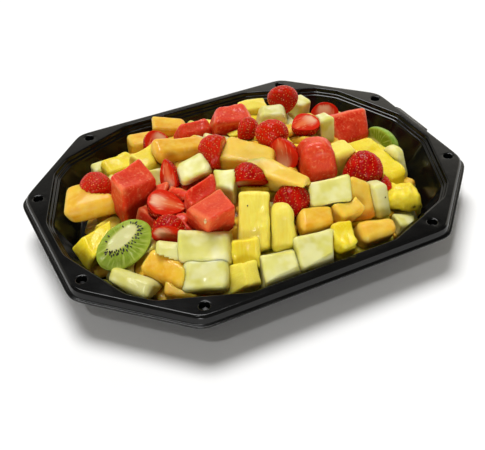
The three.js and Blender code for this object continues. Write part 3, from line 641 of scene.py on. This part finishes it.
def first_crossing(blocked, start, points):
    """Share of the way from start to each point at which `blocked` begins."""
    steps = 28
    low = np.zeros(len(points))
    high = np.ones(len(points))
    found = np.zeros(len(points), bool)
    for step in range(1, steps + 1):
        hit = blocked(start + (points - start) * step / steps) & ~found
        low[hit] = (step - 1) / steps
        high[hit] = step / steps
        found |= hit
    for _ in range(10):
        middle = (low + high) / 2
        hit = blocked(start + (points - start) * middle[:, None])
        high = np.where(hit & found, middle, high)
        low = np.where(hit | ~found, low, middle)
    return np.where(found, low, 1.0)


class Laid:
    """A piece in its place, with the points of its mesh and the space it keeps."""

    def __init__(self, piece, seed, fine):
        self.piece = piece
        self.kind = kind_of(piece)
        self.seed = seed
        self.form = form_of(piece, seed, fine)
        self.gap = BURIED_GAP if piece.get("sunk") or not fine else -PRESS
        self.axes = axes_of(piece)
        x, y, height = piece["at"]
        self.middle = np.array([x + MIDDLE_X, y, TRAY_HEIGHT + height])
        self.points = self.placed(self.form["local"])

    def placed(self, local):
        return local @ self.axes.T + self.middle

    def local(self, points):
        return (points - self.middle) @ self.axes

    def depth(self, points):
        return self.form["depth"](self.local(points))

    def near(self, other):
        return np.linalg.norm(other.middle - self.middle) < other.form["reach"] + self.form["reach"]

    def outward(self, place):
        """The direction in which the surface faces at a place on it."""
        steps = 0.5 * np.eye(3)
        return unit(self.depth(place + steps) - self.depth(place - steps))

    def heart(self, over):
        """A point inside the piece that is clear of the pieces over it, and how clear it is."""
        length, width, height = (*self.piece["size"], self.piece["size"][-1])[:3]
        half = np.array([width, width, length] if self.kind == "strawberry" else [length, width, height]) / 2
        tries = [(0, 0, 0)]
        for step in np.diag(half):
            tries += [sign * share * step for sign in (-1, 1) for share in (0.35, 0.7)]
        places = self.placed(np.array(tries))
        score = np.minimum(-self.depth(places), 4.0)
        score = np.minimum(score, -room_excess(places))
        for other in over:
            score = np.minimum(score, other.depth(places) - self.gap)
        score -= 0.02 * np.arange(len(places))
        return places[np.argmax(score)], score.max()

    def cut_back(self, heart, blocked):
        if blocked(self.points).any():
            share = first_crossing(blocked, heart, self.points)
            self.points = heart + (self.points - heart) * share[:, None]

    def settle(self, earlier):
        """Cuts the piece back from the pieces over it and the tray. False if nothing is left."""
        over = [other for other in earlier if self.near(other)]
        heart, room = self.heart(over)
        if room < LEAST_ROOM:
            return False
        for other in over:
            self.cut_back(heart, lambda points: other.depth(points) < self.gap)
        self.cut_back(heart, lambda points: room_excess(points) > 0)
        return True

    def part(self):
        local = self.local(self.points)
        attributes = dict(self.form["marks"](local), cut=self.form["cut"])
        attributes["grain"] = local + 61.0 * self.seed % 997
        attributes["own"] = local / self.form["reach"]
        attributes["tint"] = np.full(len(local), uneven(self.seed, 29))
        return dict(points=self.points, faces=self.form["faces"], attributes=attributes)


# ---- The buried fruit ----

FILL_SPACING = 23.0
FILL_ROW = 0.87 * FILL_SPACING
FILL_KINDS = ["cantaloupe", "pineapple", "cantaloupe", "honeydew"]
FILL_RED_AT = (-68, -18)          # round here the buried pieces are mostly watermelon
FILL_RED_REACH = 46.0
FILL_LOWEST = 11.0 - TRAY_HEIGHT
FOOT_KINDS = ["cantaloupe", "pineapple", "honeydew"]
FOOT_COUNT = 34


def fill_places():
    places = []
    rows = int(2 * HEAP_REACH[1] / FILL_ROW) + 1
    columns = int(2 * HEAP_REACH[0] / FILL_SPACING) + 1
    for row in range(rows):
        for column in range(columns):
            x = (column - columns / 2 + 0.5 * (row % 2)) * FILL_SPACING + random.uniform(-3, 3)
            y = (row - rows / 2 + 0.5) * FILL_ROW + random.uniform(-3, 3)
            if math.hypot(x, y) < bed_outline(math.atan2(y, x), -9):
                height = heap_height(x, y) - BED_DEPTH - 10 + random.uniform(-2, 2)
                places.append((x, y, max(height, FILL_LOWEST)))
    return places


def foot_places():
    places = []
    for i in range(FOOT_COUNT):
        angle = 2 * math.pi * (i + random.uniform(-0.2, 0.2)) / FOOT_COUNT
        reach = bed_outline(angle, -14)
        places.append((reach * math.cos(angle), reach * math.sin(angle), FILL_LOWEST + 0.5))
    return places


def fill_pieces():
    """The buried fruit: chunks of true size under the laid ones and round the foot of the heap."""
    inner = fill_places()
    pieces = []
    for i, place in enumerate(inner + foot_places()):
        kind = random.choice(FILL_KINDS if i < len(inner) else FOOT_KINDS)
        if math.dist(place[:2], FILL_RED_AT) < FILL_RED_REACH and random.random() < 0.75:
            kind = "watermelon"
        turn = [random.uniform(-most, most) for most in (90, 35, 25)]
        size = [random.uniform(low, high) for low, high in ((22, 30), (18, 22), (18, 22))]
        pieces.append(chunk(f"{kind}_fill_{i}", place, size, turn))
    return pieces


def laid_heap():
    heap = []
    for i, piece in enumerate(PIECES + fill_pieces()):
        laid = Laid(piece, i + 1, i < len(PIECES))
        if laid.settle(heap):
            heap.append(laid)
    return heap


# ---- Seeds: sizes are length, width and height ----

BERRY_SEED = (1.35, 0.95, 0.75)
KIWI_SEED = (2.5, 1.3, 1.0)
KIWI_SEED_TURNS = [*np.linspace(-186, 34, 52), 64, 118, 140]      # round the core, degrees
KIWI_SEED_GAPS = (1.0, 3.1, 2.0, 4.2)
LOOSE_SEED = {"watermelon": (4.4, 2.64, 1.6), "pineapple": (1.8, 1.08, 1.6), "honeydew": (1.8, 1.08, 1.6)}


def small_egg(middle, along, outward, size, segments=6, rings=3):
    """A small egg-shaped solid: size is its length, width and height."""
    along = unit(along - np.dot(along, outward) * outward)
    length = along * size[0]
    across = np.stack([np.cross(outward, along) * size[1] / 2, outward * size[2] / 2, length])
    shares = np.arange(1, rings + 1) / (rings + 1)
    level = [ring_of(-even_angles(segments), math.sin(math.pi * s ** 0.85), s - 0.5) for s in shares]
    return ringed(middle - length / 2, [middle + ring @ across for ring in level], middle + length / 2)


def berry_seeds(heap):
    eggs = []
    for number, laid in enumerate(heap):
        if laid.kind == "strawberry":
            places = laid.placed(laid.form["seeds"])
            clear = room_excess(places) < -0.4
            for other in filter(laid.near, heap[:number]):
                clear &= other.depth(places) > 0.5
            eggs += [small_egg(place, laid.axes[:, 2], unit(place - laid.middle), BERRY_SEED)
                     for place in places[clear]]
    return eggs


def kiwi_seeds(laid):
    """Seeds that fan out from the long side of the core, in staggered rows, and a few on the other."""
    eggs = []
    half = np.array(laid.piece["size"][:2]) / 2
    size = KIWI_CORE_SIZE * half
    draw = random.Random(5)
    turns = [] if laid.piece.get("seedless") else KIWI_SEED_TURNS
    for i, turn in enumerate(np.radians(turns)):
        angle = turn + draw.uniform(-0.04, 0.04)
        gap = KIWI_SEED_GAPS[i % 4] + draw.uniform(-0.4, 0.4)
        around = np.array([math.cos(angle), math.sin(angle)])
        slope = unit(size[::-1] * around)
        place = KIWI_CORE_AT * half + size * around + slope * gap
        if np.linalg.norm(place / half) <= 0.88:
            middle = laid.placed(np.array([*place, laid.piece["cut"] - 0.05]))
            eggs.append(small_egg(middle, laid.axes[:, :2] @ slope, laid.axes[:, 2], KIWI_SEED, 8, 4))
    return eggs


def loose_seeds(heap, kinds):
    """The few melon and pineapple seeds that lie on cut faces."""
    eggs = []
    for laid in heap:
        for direction in laid.piece.get("specks", []) if laid.kind in kinds else []:
            place = laid.points[towards(laid.local(laid.points), direction)]
            along = np.array([0.1, 0.2, 1.0])
            eggs.append(small_egg(place, along, laid.outward(place), LOOSE_SEED[laid.kind], 10, 5))
    return eggs


# ---- The core under the buried fruit ----

def core_part():
    angles = even_angles(72)
    reach = bed_outline(angles, -16)
    rings = [ring_of(angles, 0.97 * reach, 1.8), ring_of(angles, reach, 3.0)]
    sides = len(rings) * len(angles) + 1
    steps = 18
    for step in range(steps):
        ring = ring_of(angles, reach * (1 - step / steps), 0)
        height = TRAY_HEIGHT + heap_height(ring[:, 0], ring[:, 1]) - CORE_DEPTH
        ring[:, 2] = np.maximum(height, 6.0) - (2.0 if step == 0 else 0.0)
        rings.append(ring)
    core = ringed((0, 0, 1.8), rings, (0, 0, TRAY_HEIGHT + HEAP_CROWN - CORE_DEPTH))
    core["points"][:, 0] += MIDDLE_X
    core["points"][sides:, 2] += 1.6 * lattice_noise(core["points"], 12.0, 3)[sides:]
    return core


# ---- The tray ----

def tray_section():
    """(outline, offset from it, height) from the base's underside round to the floor."""
    top = TRAY_HEIGHT
    under = [(-21.5, 0), (-18.4, 1.4), (-16.6, 5.2), (-10.4, 16.9), (-4.2, 28.6), (0.9, 34.2),
             (0.9, top - WALL)]
    edge = [(-1.2, top - WALL), (1, BRIM_BOTTOM), (BRIM_REACH, BRIM_BOTTOM), (BRIM_REACH, BRIM_TOP),
            (2.2, BRIM_TOP), (1, 36.4), (-0.5, top)]
    inner = [(0.8, top), (0, top - 0.8), (-0.5, top - 3.4), (-1.9, top - 3.8), (-2.4, top - 5.6),
             (-3.9, top - 6), (-4.4, top - 7.6), (-11, 18.2), (-17.6, 6), (-19.2, 2.4), (-21.8, WALL)]
    stretches = ((mouth_outline, under), (flange_outline, edge), (mouth_outline, inner))
    return [(shape, *row) for shape, rows in stretches for row in rows]


def tray_angles():
    """Ray directions: even, with more of them round the corners."""
    long_corner = math.degrees(math.atan2(FLANGE_WIDTH / 2, FLANGE_LENGTH / 2 - CORNER_CUT))
    short_corner = math.degrees(math.atan2(FLANGE_WIDTH / 2 - CORNER_CUT, FLANGE_LENGTH / 2))
    corners = [(long_corner, 4.5), (short_corner, 4.5)] + [(corner, 2.0) for corner in MOUTH_BENDS]
    angles = even_angles(240).tolist()
    for corner, spread in corners:
        for centre in mirrored(corner):
            angles += np.radians((centre + np.linspace(-spread, spread, 15)) % 360).tolist()
    return np.unique(np.round(angles, 5))


def tray_part():
    angles = tray_angles()
    profile = [np.stack([shape(angles, offset), height + 0 * angles], axis=1)
               for shape, offset, height in tray_section()]
    rings = [profile[0]]
    for before, here, after in zip(profile, profile[1:], profile[2:]):
        ends = []
        for other in (before, after):
            length = np.linalg.norm(other - here, axis=1, keepdims=True)
            ends.append(here + (other - here) / length * np.minimum(FILLET, 0.4 * length))
        rings += [ends[0], (ends[0] + 2 * here + ends[1]) / 4, ends[1]]
    rings.append(profile[-1])
    return ringed((0, 0, 0), [ring_of(angles, *ring.T) for ring in rings], (0, 0, WALL))


def turned_part(profile, centre):
    """A closed solid of revolution about a vertical axis at centre."""
    middle = np.array([*centre, 0.0])
    rings = [middle + ring_of(even_angles(40), radius, z) for radius, z in profile if radius > 0]
    return ringed(middle + (0, 0, profile[0][1]), rings, middle + (0, 0, profile[-1][1]))


def tab_part():
    inside = FLANGE_LENGTH / 2 + BRIM_REACH - 3
    outside = FLANGE_LENGTH / 2 + BRIM_REACH + TAB_REACH
    shape = [(inside, TAB_FROM), (outside - 1.5, TAB_FROM), (outside, TAB_FROM + 1.5), (outside, TAB_TO - 6),
             (outside - 1.5, TAB_TO - 2), (inside, TAB_TO)]
    low, high = (np.insert(shape, 2, height, axis=1) for height in (BRIM_BOTTOM + 0.1, BRIM_TOP - 0.1))
    return ringed(low.mean(axis=0), [low, high], high.mean(axis=0))


def applied(target, step):
    """Bakes a modifier into the mesh itself."""
    evaluated = target.evaluated_get(bpy.context.evaluated_depsgraph_get())
    shaped = bpy.data.meshes.new_from_object(evaluated)
    target.modifiers.remove(step)
    old = target.data
    target.data = shaped
    bpy.data.meshes.remove(old)


def joined(target, parts, operation):
    """Joins or cuts parts with a mesh."""
    tool = mesh_piece("tool", parts, target.data.materials[0])
    step = target.modifiers.new("step", "BOOLEAN")
    step.operation = operation
    step.solver = "EXACT"
    step.object = tool
    applied(target, step)
    bpy.data.objects.remove(tool)


def make_tray(material):
    tray = mesh_piece("tray_shell", [tray_part()], material)
    bottom = TRAY_HEIGHT - DIMPLE_DEPTH
    under = bottom - WALL
    cup = [(0, under), (4.7, under), (5.1, under + 0.4), (5.2, TRAY_HEIGHT - 0.8), (0, TRAY_HEIGHT - 0.8)]
    well = [(0, bottom), (DIMPLE_RADIUS - 0.9, bottom), (DIMPLE_RADIUS - 0.4, bottom + 0.5),
            (DIMPLE_RADIUS, TRAY_HEIGHT - 1), (DIMPLE_RADIUS + 0.25, TRAY_HEIGHT - 0.35),
            (DIMPLE_RADIUS + 1.2, TRAY_HEIGHT + 0.1), (0, TRAY_HEIGHT + 0.1)]
    centres = [(sx * x, sy * y) for x, y in DIMPLES for sx in (1, -1) for sy in (1, -1)]
    joined(tray, [turned_part(cup, centre) for centre in centres] + [tab_part()], "UNION")
    joined(tray, [turned_part(well, centre) for centre in centres], "DIFFERENCE")
    tray.data.shade_smooth()
    tray.data.transform(Matrix.Translation((MIDDLE_X * MM, 0, 0)))
    step = tray.modifiers.new("wide_faces_first", "WEIGHTED_NORMAL")
    step.mode = "FACE_AREA"
    applied(tray, step)
    return tray


# ---- Materials ----

def linear(red, green, blue):
    """A colour given as display values from 0 to 255."""
    shares = np.array([red, green, blue]) / 255
    return tuple(np.where(shares <= 0.04045, shares / 12.92, ((shares + 0.055) / 1.055) ** 2.4).tolist())


class Nodes:
    """Short ways to add and link nodes in one node tree."""

    def __init__(self, tree):
        self.tree = tree
        tree.nodes.clear()

    def put(self, node, values):
        """Sets a node's inputs: to numbers or colours, other nodes' outputs, or a mesh attribute's name."""
        for name, value in values.items():
            socket = node.inputs[name]
            if isinstance(value, str):
                output = "Vector" if socket.type == "VECTOR" else "Fac"
                value = self.add("Attribute", {}, output, attribute_name=value)
            if isinstance(value, bpy.types.NodeSocket):
                self.tree.links.new(value, socket)
            else:
                socket.default_value = (*value, 1) if socket.type == "RGBA" else value
        return node

    def add(self, kind, values, output=0, **settings):
        node = self.tree.nodes.new("ShaderNode" + kind)
        for name, value in settings.items():
            setattr(node, name, value)
        return self.put(node, values).outputs[output]

    def end(self, kind, source):
        self.put(self.tree.nodes.new("ShaderNodeOutput" + kind), {0: source})

    def place(self, output="Object"):
        return self.add("TexCoord", {}, output)

    def noise(self, vector, scale, detail=3.0):
        return self.add("TexNoise", dict(Vector=vector, Scale=scale, Detail=detail, Roughness=0.55))

    def stretched(self, vector, scale):
        return self.add("Mapping", dict(Vector=vector, Scale=scale))

    def along(self, vector, direction):
        return self.add("VectorMath", {0: vector, 1: direction}, "Value", operation="DOT_PRODUCT")

    def math(self, operation, a, b):
        return self.add("Math", {0: a, 1: b}, operation=operation)

    def range(self, value, low, high, to_low=0.0, to_high=1.0):
        limits = {"Value": value, "From Min": low, "From Max": high, "To Min": to_low, "To Max": to_high}
        return self.add("MapRange", limits, interpolation_type="SMOOTHSTEP")

    def mix(self, factor, a, b):
        return self.add("Mix", dict(Factor=factor, A=a, B=b), "Result", data_type="RGBA")

    def bump(self, height, strength, distance):
        return self.add("Bump", dict(Height=height, Strength=strength, Distance=distance))


class Surface(Nodes):
    """A new material with one shader, whose colour is built up in layers."""

    def __init__(self, name):
        self.material = bpy.data.materials.new(name)
        self.material.use_nodes = True
        super().__init__(self.material.node_tree)
        self.shader = self.add("BsdfPrincipled", {}).node
        self.end("Material", self.shader.outputs[0])

    def start(self, factor, first, second):
        self.colour = self.mix(factor, linear(*first), linear(*second))

    def over(self, factor, colour):
        self.colour = self.mix(factor, self.colour, linear(*colour))

    def layer(self, source, low, high, share, colour):
        """Lays a colour over the others as the source goes from low to high."""
        self.over(self.range(source, low, high, 0.0, share), colour)

    def finish(self, roughness, **more):
        values = {name.replace("_", " "): value for name, value in more.items()}
        self.put(self.shader, {"Base Color": self.colour, "Roughness": roughness, **values})
        return self.material


class Flesh(Surface):
    """Cut fruit: soft light inside, and a thin wet film with sharp glints."""

    def patches(self, scale, detail=2.0, spread=0.2):
        """Soft patches between 0 and 1, in the piece's own place."""
        return self.range(self.noise("grain", scale, detail), 0.5 - spread, 0.5 + spread)

    def shade_height(self, broad, share):
        """Falls towards the lower side of a piece, where the layers paint shade."""
        return self.math("ADD", self.along("own", (0, 0, 1)), self.math("MULTIPLY", broad, share))

    def moist(self, normal, roughness, radius, scale, subsurface=0.4, coat=0.16, specular=0.2):
        depths = {"Subsurface_Weight": subsurface, "Subsurface_Radius": radius, "Subsurface_Scale": scale}
        film = {"Coat_Weight": coat, "Coat_Roughness": 0.08, "IOR": 1.38, "Specular_IOR_Level": specular}
        return self.finish(roughness, Normal=normal, **depths, **film)


def watermelon_material():
    flesh = Flesh("watermelon_flesh")
    streaks = flesh.noise(flesh.stretched("grain", (0.5, 0.5, 0.14)), 1.0)
    grain_and_sheen = flesh.range(flesh.noise("grain", 0.34, 4.0), 0.5, 0.74)
    cells = flesh.add("TexVoronoi", dict(Vector="grain", Scale=0.85))
    flesh.start(flesh.patches(0.07), (208, 36, 14), (222, 66, 30))
    flesh.layer(streaks, 0.45, 0.7, 0.4, (230, 104, 60))
    # Light pink speckle: partly the flesh's grain, partly a painted sheen.
    flesh.layer(grain_and_sheen, 0.0, 1.0, 0.55, (236, 150, 100))
    flesh.layer("tint", -0.2, 1.0, 0.35, (228, 104, 60))
    # Painted glow: paler pink towards the edges, as if lit through the thin flesh.
    flesh.layer("core", 0.72, 0.98, 0.5, (236, 146, 88))
    flesh.layer(cells, 0.7, 0.1, 0.15, (190, 20, 8))
    height = flesh.math("ADD", cells, flesh.math("MULTIPLY", grain_and_sheen, 0.5))
    return flesh.moist(flesh.bump(height, 0.14, 0.0004), 0.4, (1.0, 0.3, 0.2), 0.006, 0.85)


def cantaloupe_material():
    flesh = Flesh("cantaloupe_flesh")
    broad = flesh.patches(0.06)
    flesh.start(broad, (222, 160, 28), (232, 190, 56))
    flesh.layer("tint", -0.5, 1.0, 0.5, (234, 208, 88))
    # Painted shade: deeper orange towards the piece's lower side.
    flesh.layer(flesh.shade_height(broad, 0.25), 0.2, -0.5, 0.8, (214, 124, 18))
    flesh.layer(flesh.noise("grain", 0.2), 0.4, 0.7, 0.3, (236, 208, 118))
    # Painted glow: paler towards the edges, as if lit through the thin flesh.
    flesh.layer("core", 0.78, 1.0, 0.3, (240, 216, 110))
    bump = flesh.bump(flesh.noise("grain", 0.7), 0.14, 0.0005)
    return flesh.moist(bump, 0.36, (1.0, 0.6, 0.25), 0.006, 0.85)


def honeydew_material():
    flesh = Flesh("honeydew_flesh")
    broad = flesh.patches(0.06)
    flesh.start(broad, (208, 202, 96), (224, 220, 132))
    flesh.layer(flesh.noise("grain", 0.09, 1.5), 0.35, 0.65, 0.5, (238, 236, 198))
    flesh.layer("tint", -0.3, -1.0, 0.4, (196, 190, 94))
    # Painted shade: darker and greener towards the piece's lower side.
    flesh.layer(flesh.shade_height(broad, 0.3), 0.1, -0.6, 0.75, (196, 194, 72))
    # Painted translucency: darker and greener towards the edges, where light passes through the thin flesh.
    flesh.layer("core", 0.74, 1.0, 0.35, (212, 206, 72))
    bump = flesh.bump(flesh.noise("grain", 0.6), 0.12, 0.0005)
    return flesh.moist(bump, 0.34, (1.0, 0.92, 0.5), 0.006, 0.85)


def pineapple_material():
    flesh = Flesh("pineapple_flesh")
    fibres = flesh.noise(flesh.stretched("grain", (0.9, 0.9, 0.08)), 1.0)
    flesh.start(flesh.patches(0.08), (230, 204, 26), (236, 218, 60))
    flesh.layer("tint", -0.4, 1.0, 0.5, (238, 228, 122))
    flesh.layer(fibres, 0.5, 0.7, 0.3, (242, 232, 132))
    flesh.layer(fibres, 0.48, 0.3, 0.25, (224, 186, 22))
    # Painted glow: paler yellow towards the edges, as if lit through the thin flesh.
    flesh.layer("core", 0.78, 1.0, 0.3, (242, 230, 120))
    flesh.layer("pit", 0.25, 0.8, 0.85, (126, 84, 22))
    return flesh.moist(flesh.bump(fibres, 0.2, 0.0006), 0.32, (1.0, 0.82, 0.25), 0.005, 0.8)


def strawberry_material():
    flesh = Flesh("strawberry_flesh")
    flesh.start(flesh.patches(0.09, spread=0.15), (160, 4, 4), (192, 18, 4))
    flesh.layer("tint", -0.2, 1.0, 0.5, (214, 44, 8))
    # Painted shade: darker red in the seed pits.
    flesh.over(flesh.math("MULTIPLY", "pit", 0.3), (130, 4, 4))
    skin = flesh.colour
    streaks = flesh.noise(flesh.stretched("grain", (0.5, 0.5, 0.12)), 1.0)
    flesh.start(flesh.range("core", 0.05, 0.55), (232, 126, 74), (214, 50, 18))
    flesh.layer(streaks, 0.52, 0.66, 0.6, (236, 170, 118))
    flesh.layer("core", 0.5, 0.85, 1.0, (212, 38, 14))
    white = flesh.range(flesh.along("own", (0, 0, 1)), 0.1, -0.7, 0.0, 0.65)
    flesh.over(flesh.math("MULTIPLY", white, flesh.range("core", 0.75, 0.3)), (242, 214, 178))
    flesh.colour = flesh.mix("cut", skin, flesh.colour)
    bump = flesh.bump(flesh.noise("grain", 0.45), 0.35, 0.0006)
    return flesh.moist(bump, 0.26, (1.0, 0.2, 0.12), 0.0025, 0.25, 0.09, 0.12)


def kiwi_material():
    look = Flesh("kiwi_flesh")
    look.start(look.patches(0.2, 3.0), (124, 160, 34), (158, 184, 62))
    skin = look.colour
    across = look.math("SUBTRACT", look.along("own", (0, 1, 0)), float(KIWI_CORE_AT[1]) * 0.63)
    around = look.math("ARCTAN2", across, look.along("own", (1, 0, 0)))
    fan = dict(X=look.math("MULTIPLY", around, 9.0), Y=look.math("MULTIPLY", "core", 0.5))
    rays = look.noise(look.add("CombineXYZ", fan), 1.0)
    look.start(look.range("core", 1.0, 1.5), (168, 176, 66), (124, 146, 26))
    look.layer(rays, 0.45, 0.65, 0.6, (190, 200, 104))
    look.layer("pit", 0.72, 1.0, 0.7, (162, 180, 58))
    look.layer("core", 1.2, 0.85, 1.0, (216, 214, 150))
    look.colour = look.mix("cut", skin, look.colour)
    bump = look.bump(look.math("ADD", rays, look.noise("grain", 0.6)), 0.35, 0.0005)
    return look.moist(bump, 0.36, (0.7, 1.0, 0.25), 0.002, 0.3, 0.05)


def seed_material(name, first, second, roughness):
    seed = Surface(name)
    seed.start(seed.range(seed.noise(seed.place(), 420.0, 2.0), 0.4, 0.6), first, second)
    return seed.finish(roughness)


def core_material():
    pulp = Flesh("fruit_pulp")
    pulp.start(pulp.range(pulp.noise(pulp.place(), 60.0), 0.4, 0.6), (170, 96, 30), (196, 150, 60))
    bump = pulp.bump(pulp.noise(pulp.place(), 300.0), 0.5, 0.001)
    return pulp.moist(bump, 0.4, (1.0, 0.5, 0.2), 0.002)


def tray_material():
    plastic = Surface("black_plastic")
    cloudy = plastic.noise(plastic.place(), 14.0)
    plastic.colour = plastic.mix(cloudy, (0.0022, 0.0022, 0.0022), (0.004, 0.004, 0.004))
    roughness = plastic.range(plastic.noise(plastic.place(), 40.0), 0.3, 0.7, 0.12, 0.17)
    bump = plastic.bump(plastic.noise(plastic.place(), 90.0, 2.0), 0.06, 0.001)
    return plastic.finish(roughness, Normal=bump, IOR=1.38)


def floor_material():
    floor = Surface("pale_floor")
    floor.colour = floor.mix(floor.noise(floor.place(), 3.0), (0.94, 0.94, 0.94), (0.96, 0.96, 0.96))
    return floor.finish(0.9, Specular_IOR_Level=0.1)


# ---- Stage: camera, floor, lights ----

CAMERA_AZIMUTH = -26.05
CAMERA_ELEVATION = 38.76
CAMERA_ROLL = -1.62
CAMERA_DISTANCE = 658.5
CAMERA_TARGET = (-33.9 + MIDDLE_X, -55.9, TRAY_HEIGHT)
CAMERA_LENS = 62.18               # mm, on a 36 mm sensor
FLOOR_REACH = 40.0                # metres
WORLD_COLOUR = (1, 0.95, 0.84)
WORLD_DIM = 0.03
WORLD_BAND = 1.2
WORLD_FRONT = 0.11
SUNS = {       # direction towards it, strength, spread in degrees
    "key": ((0.03, 0.4, 0.915), 2.75, 31),
    "fill": ((-0.5, -0.8, 0.05), 2.2, 24),
    "glint": ((-0.4, -0.3, 0.86), 0.4, 5),
}


def in_scene(name, data):
    made = bpy.data.objects.new(name, data)
    bpy.context.scene.collection.objects.link(made)
    return made


def make_camera():
    """A camera that looks along its azimuth and elevation at the target, rolled a little."""
    turns = zip((CAMERA_AZIMUTH, 90 - CAMERA_ELEVATION, CAMERA_ROLL), "ZXZ")
    azimuth, tilt, roll = (Matrix.Rotation(math.radians(degrees), 4, axis) for degrees, axis in turns)
    data = bpy.data.cameras.new("camera")
    data.lens = CAMERA_LENS
    data.sensor_width = 36
    data.clip_start = 0.01
    camera = in_scene("camera", data)
    back = Matrix.Translation((0, 0, CAMERA_DISTANCE * MM))
    camera.matrix_world = Matrix.Translation(Vector(CAMERA_TARGET) * MM) @ azimuth @ tilt @ roll @ back
    bpy.context.scene.camera = camera


def make_floor():
    corners = np.array([(-1, -1, 0), (1, -1, 0), (1, 1, 0), (-1, 1, 0)]) * FLOOR_REACH / MM
    mesh_piece("floor", [dict(points=corners, faces=[(0, 1, 2, 3)])], floor_material())


def make_sun(name, direction, strength, spread):
    """A soft light from far away."""
    data = bpy.data.lights.new(name, "SUN")
    data.energy = strength
    data.angle = math.radians(spread)
    in_scene(name, data).rotation_euler = Vector(direction).to_track_quat("Z", "Y").to_euler()


def make_world():
    """A dim room with a bright band low behind the tray, which its flange mirrors."""
    world = bpy.data.worlds.new("studio")
    bpy.context.scene.world = world
    world.use_nodes = True
    sky = Nodes(world.node_tree)
    where = sky.place("Generated")
    backward = sky.along(where, (0.44, 0.9, 0))
    sideways = sky.along(where, (0.9, -0.44, 0))
    low = sky.range(sky.along(where, (0, 0, 1)), 0.48, 0.62, 1.0, 0.0)
    band = sky.math("MULTIPLY", low, sky.range(backward, 0.1, 0.5, 0.0, WORLD_BAND))
    band = sky.math("MULTIPLY", band, sky.range(sideways, -0.3, 0.15, 0.5, 1.0))
    lit = sky.math("ADD", band, sky.range(backward, 0.3, -0.5, WORLD_DIM, WORLD_DIM + WORLD_FRONT))
    sky.end("World", sky.add("Background", dict(Color=WORLD_COLOUR, Strength=lit)))


# ---- Assembly ----

def rides(piece, slot, *replaced):
    """Puts a piece on the part's one body, in place of CAD nodes if any are named."""
    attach(piece, "root")
    if replaced:
        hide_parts(*replaced)


def make_fruit(heap):
    looks = {
        "watermelon": ("watermelon_chunks", watermelon_material()),
        "cantaloupe": ("cantaloupe_chunks", cantaloupe_material()),
        "honeydew": ("honeydew_chunks", honeydew_material()),
        "pineapple": ("pineapple_chunks", pineapple_material()),
        "strawberry": ("strawberries", strawberry_material()),
        "kiwi": ("kiwi_pieces", kiwi_material()),
    }
    for kind, (name, material) in looks.items():
        nodes = [piece["name"] for piece in PIECES if kind_of(piece) == kind and not piece.get("sunk")]
        piece = mesh_piece(name, [laid.part() for laid in heap if laid.kind == kind], material)
        rides(piece, kind, *nodes)


def make_seeds(heap):
    kiwi_eggs = [egg for laid in heap if laid.kind == "kiwi" for egg in kiwi_seeds(laid)]
    melon_eggs = loose_seeds(heap, ["watermelon"])
    dark_eggs = loose_seeds(heap, ["pineapple", "honeydew"])
    for name, slot, eggs, look in (
            ("strawberry_seeds", "strawberry", berry_seeds(heap),
             seed_material("strawberry_seed", (230, 134, 66), (200, 72, 28), 0.16)),
            ("kiwi_seeds", "kiwi", kiwi_eggs, seed_material("kiwi_seed", (22, 18, 18), (40, 28, 26), 0.25)),
            ("watermelon_seeds", "watermelon", melon_eggs,
             seed_material("melon_seed", (232, 204, 150), (206, 150, 92), 0.3)),
            ("dark_specks", "pineapple", dark_eggs,
             seed_material("dark_seed", (74, 52, 18), (104, 76, 30), 0.4))):
        rides(mesh_piece(name, eggs, look), slot)


bpy.context.scene.view_settings.view_transform = "Standard"
make_camera()
make_floor()
make_world()
for name, (direction, strength, spread) in SUNS.items():
    make_sun(name, direction, strength, spread)
rides(make_tray(tray_material()), "tray_plastic", "tray")
heap = laid_heap()
make_fruit(heap)
make_seeds(heap)
rides(mesh_piece("fruit_core", [core_part()], core_material()), "mixed_fruit", "fruit_bed")
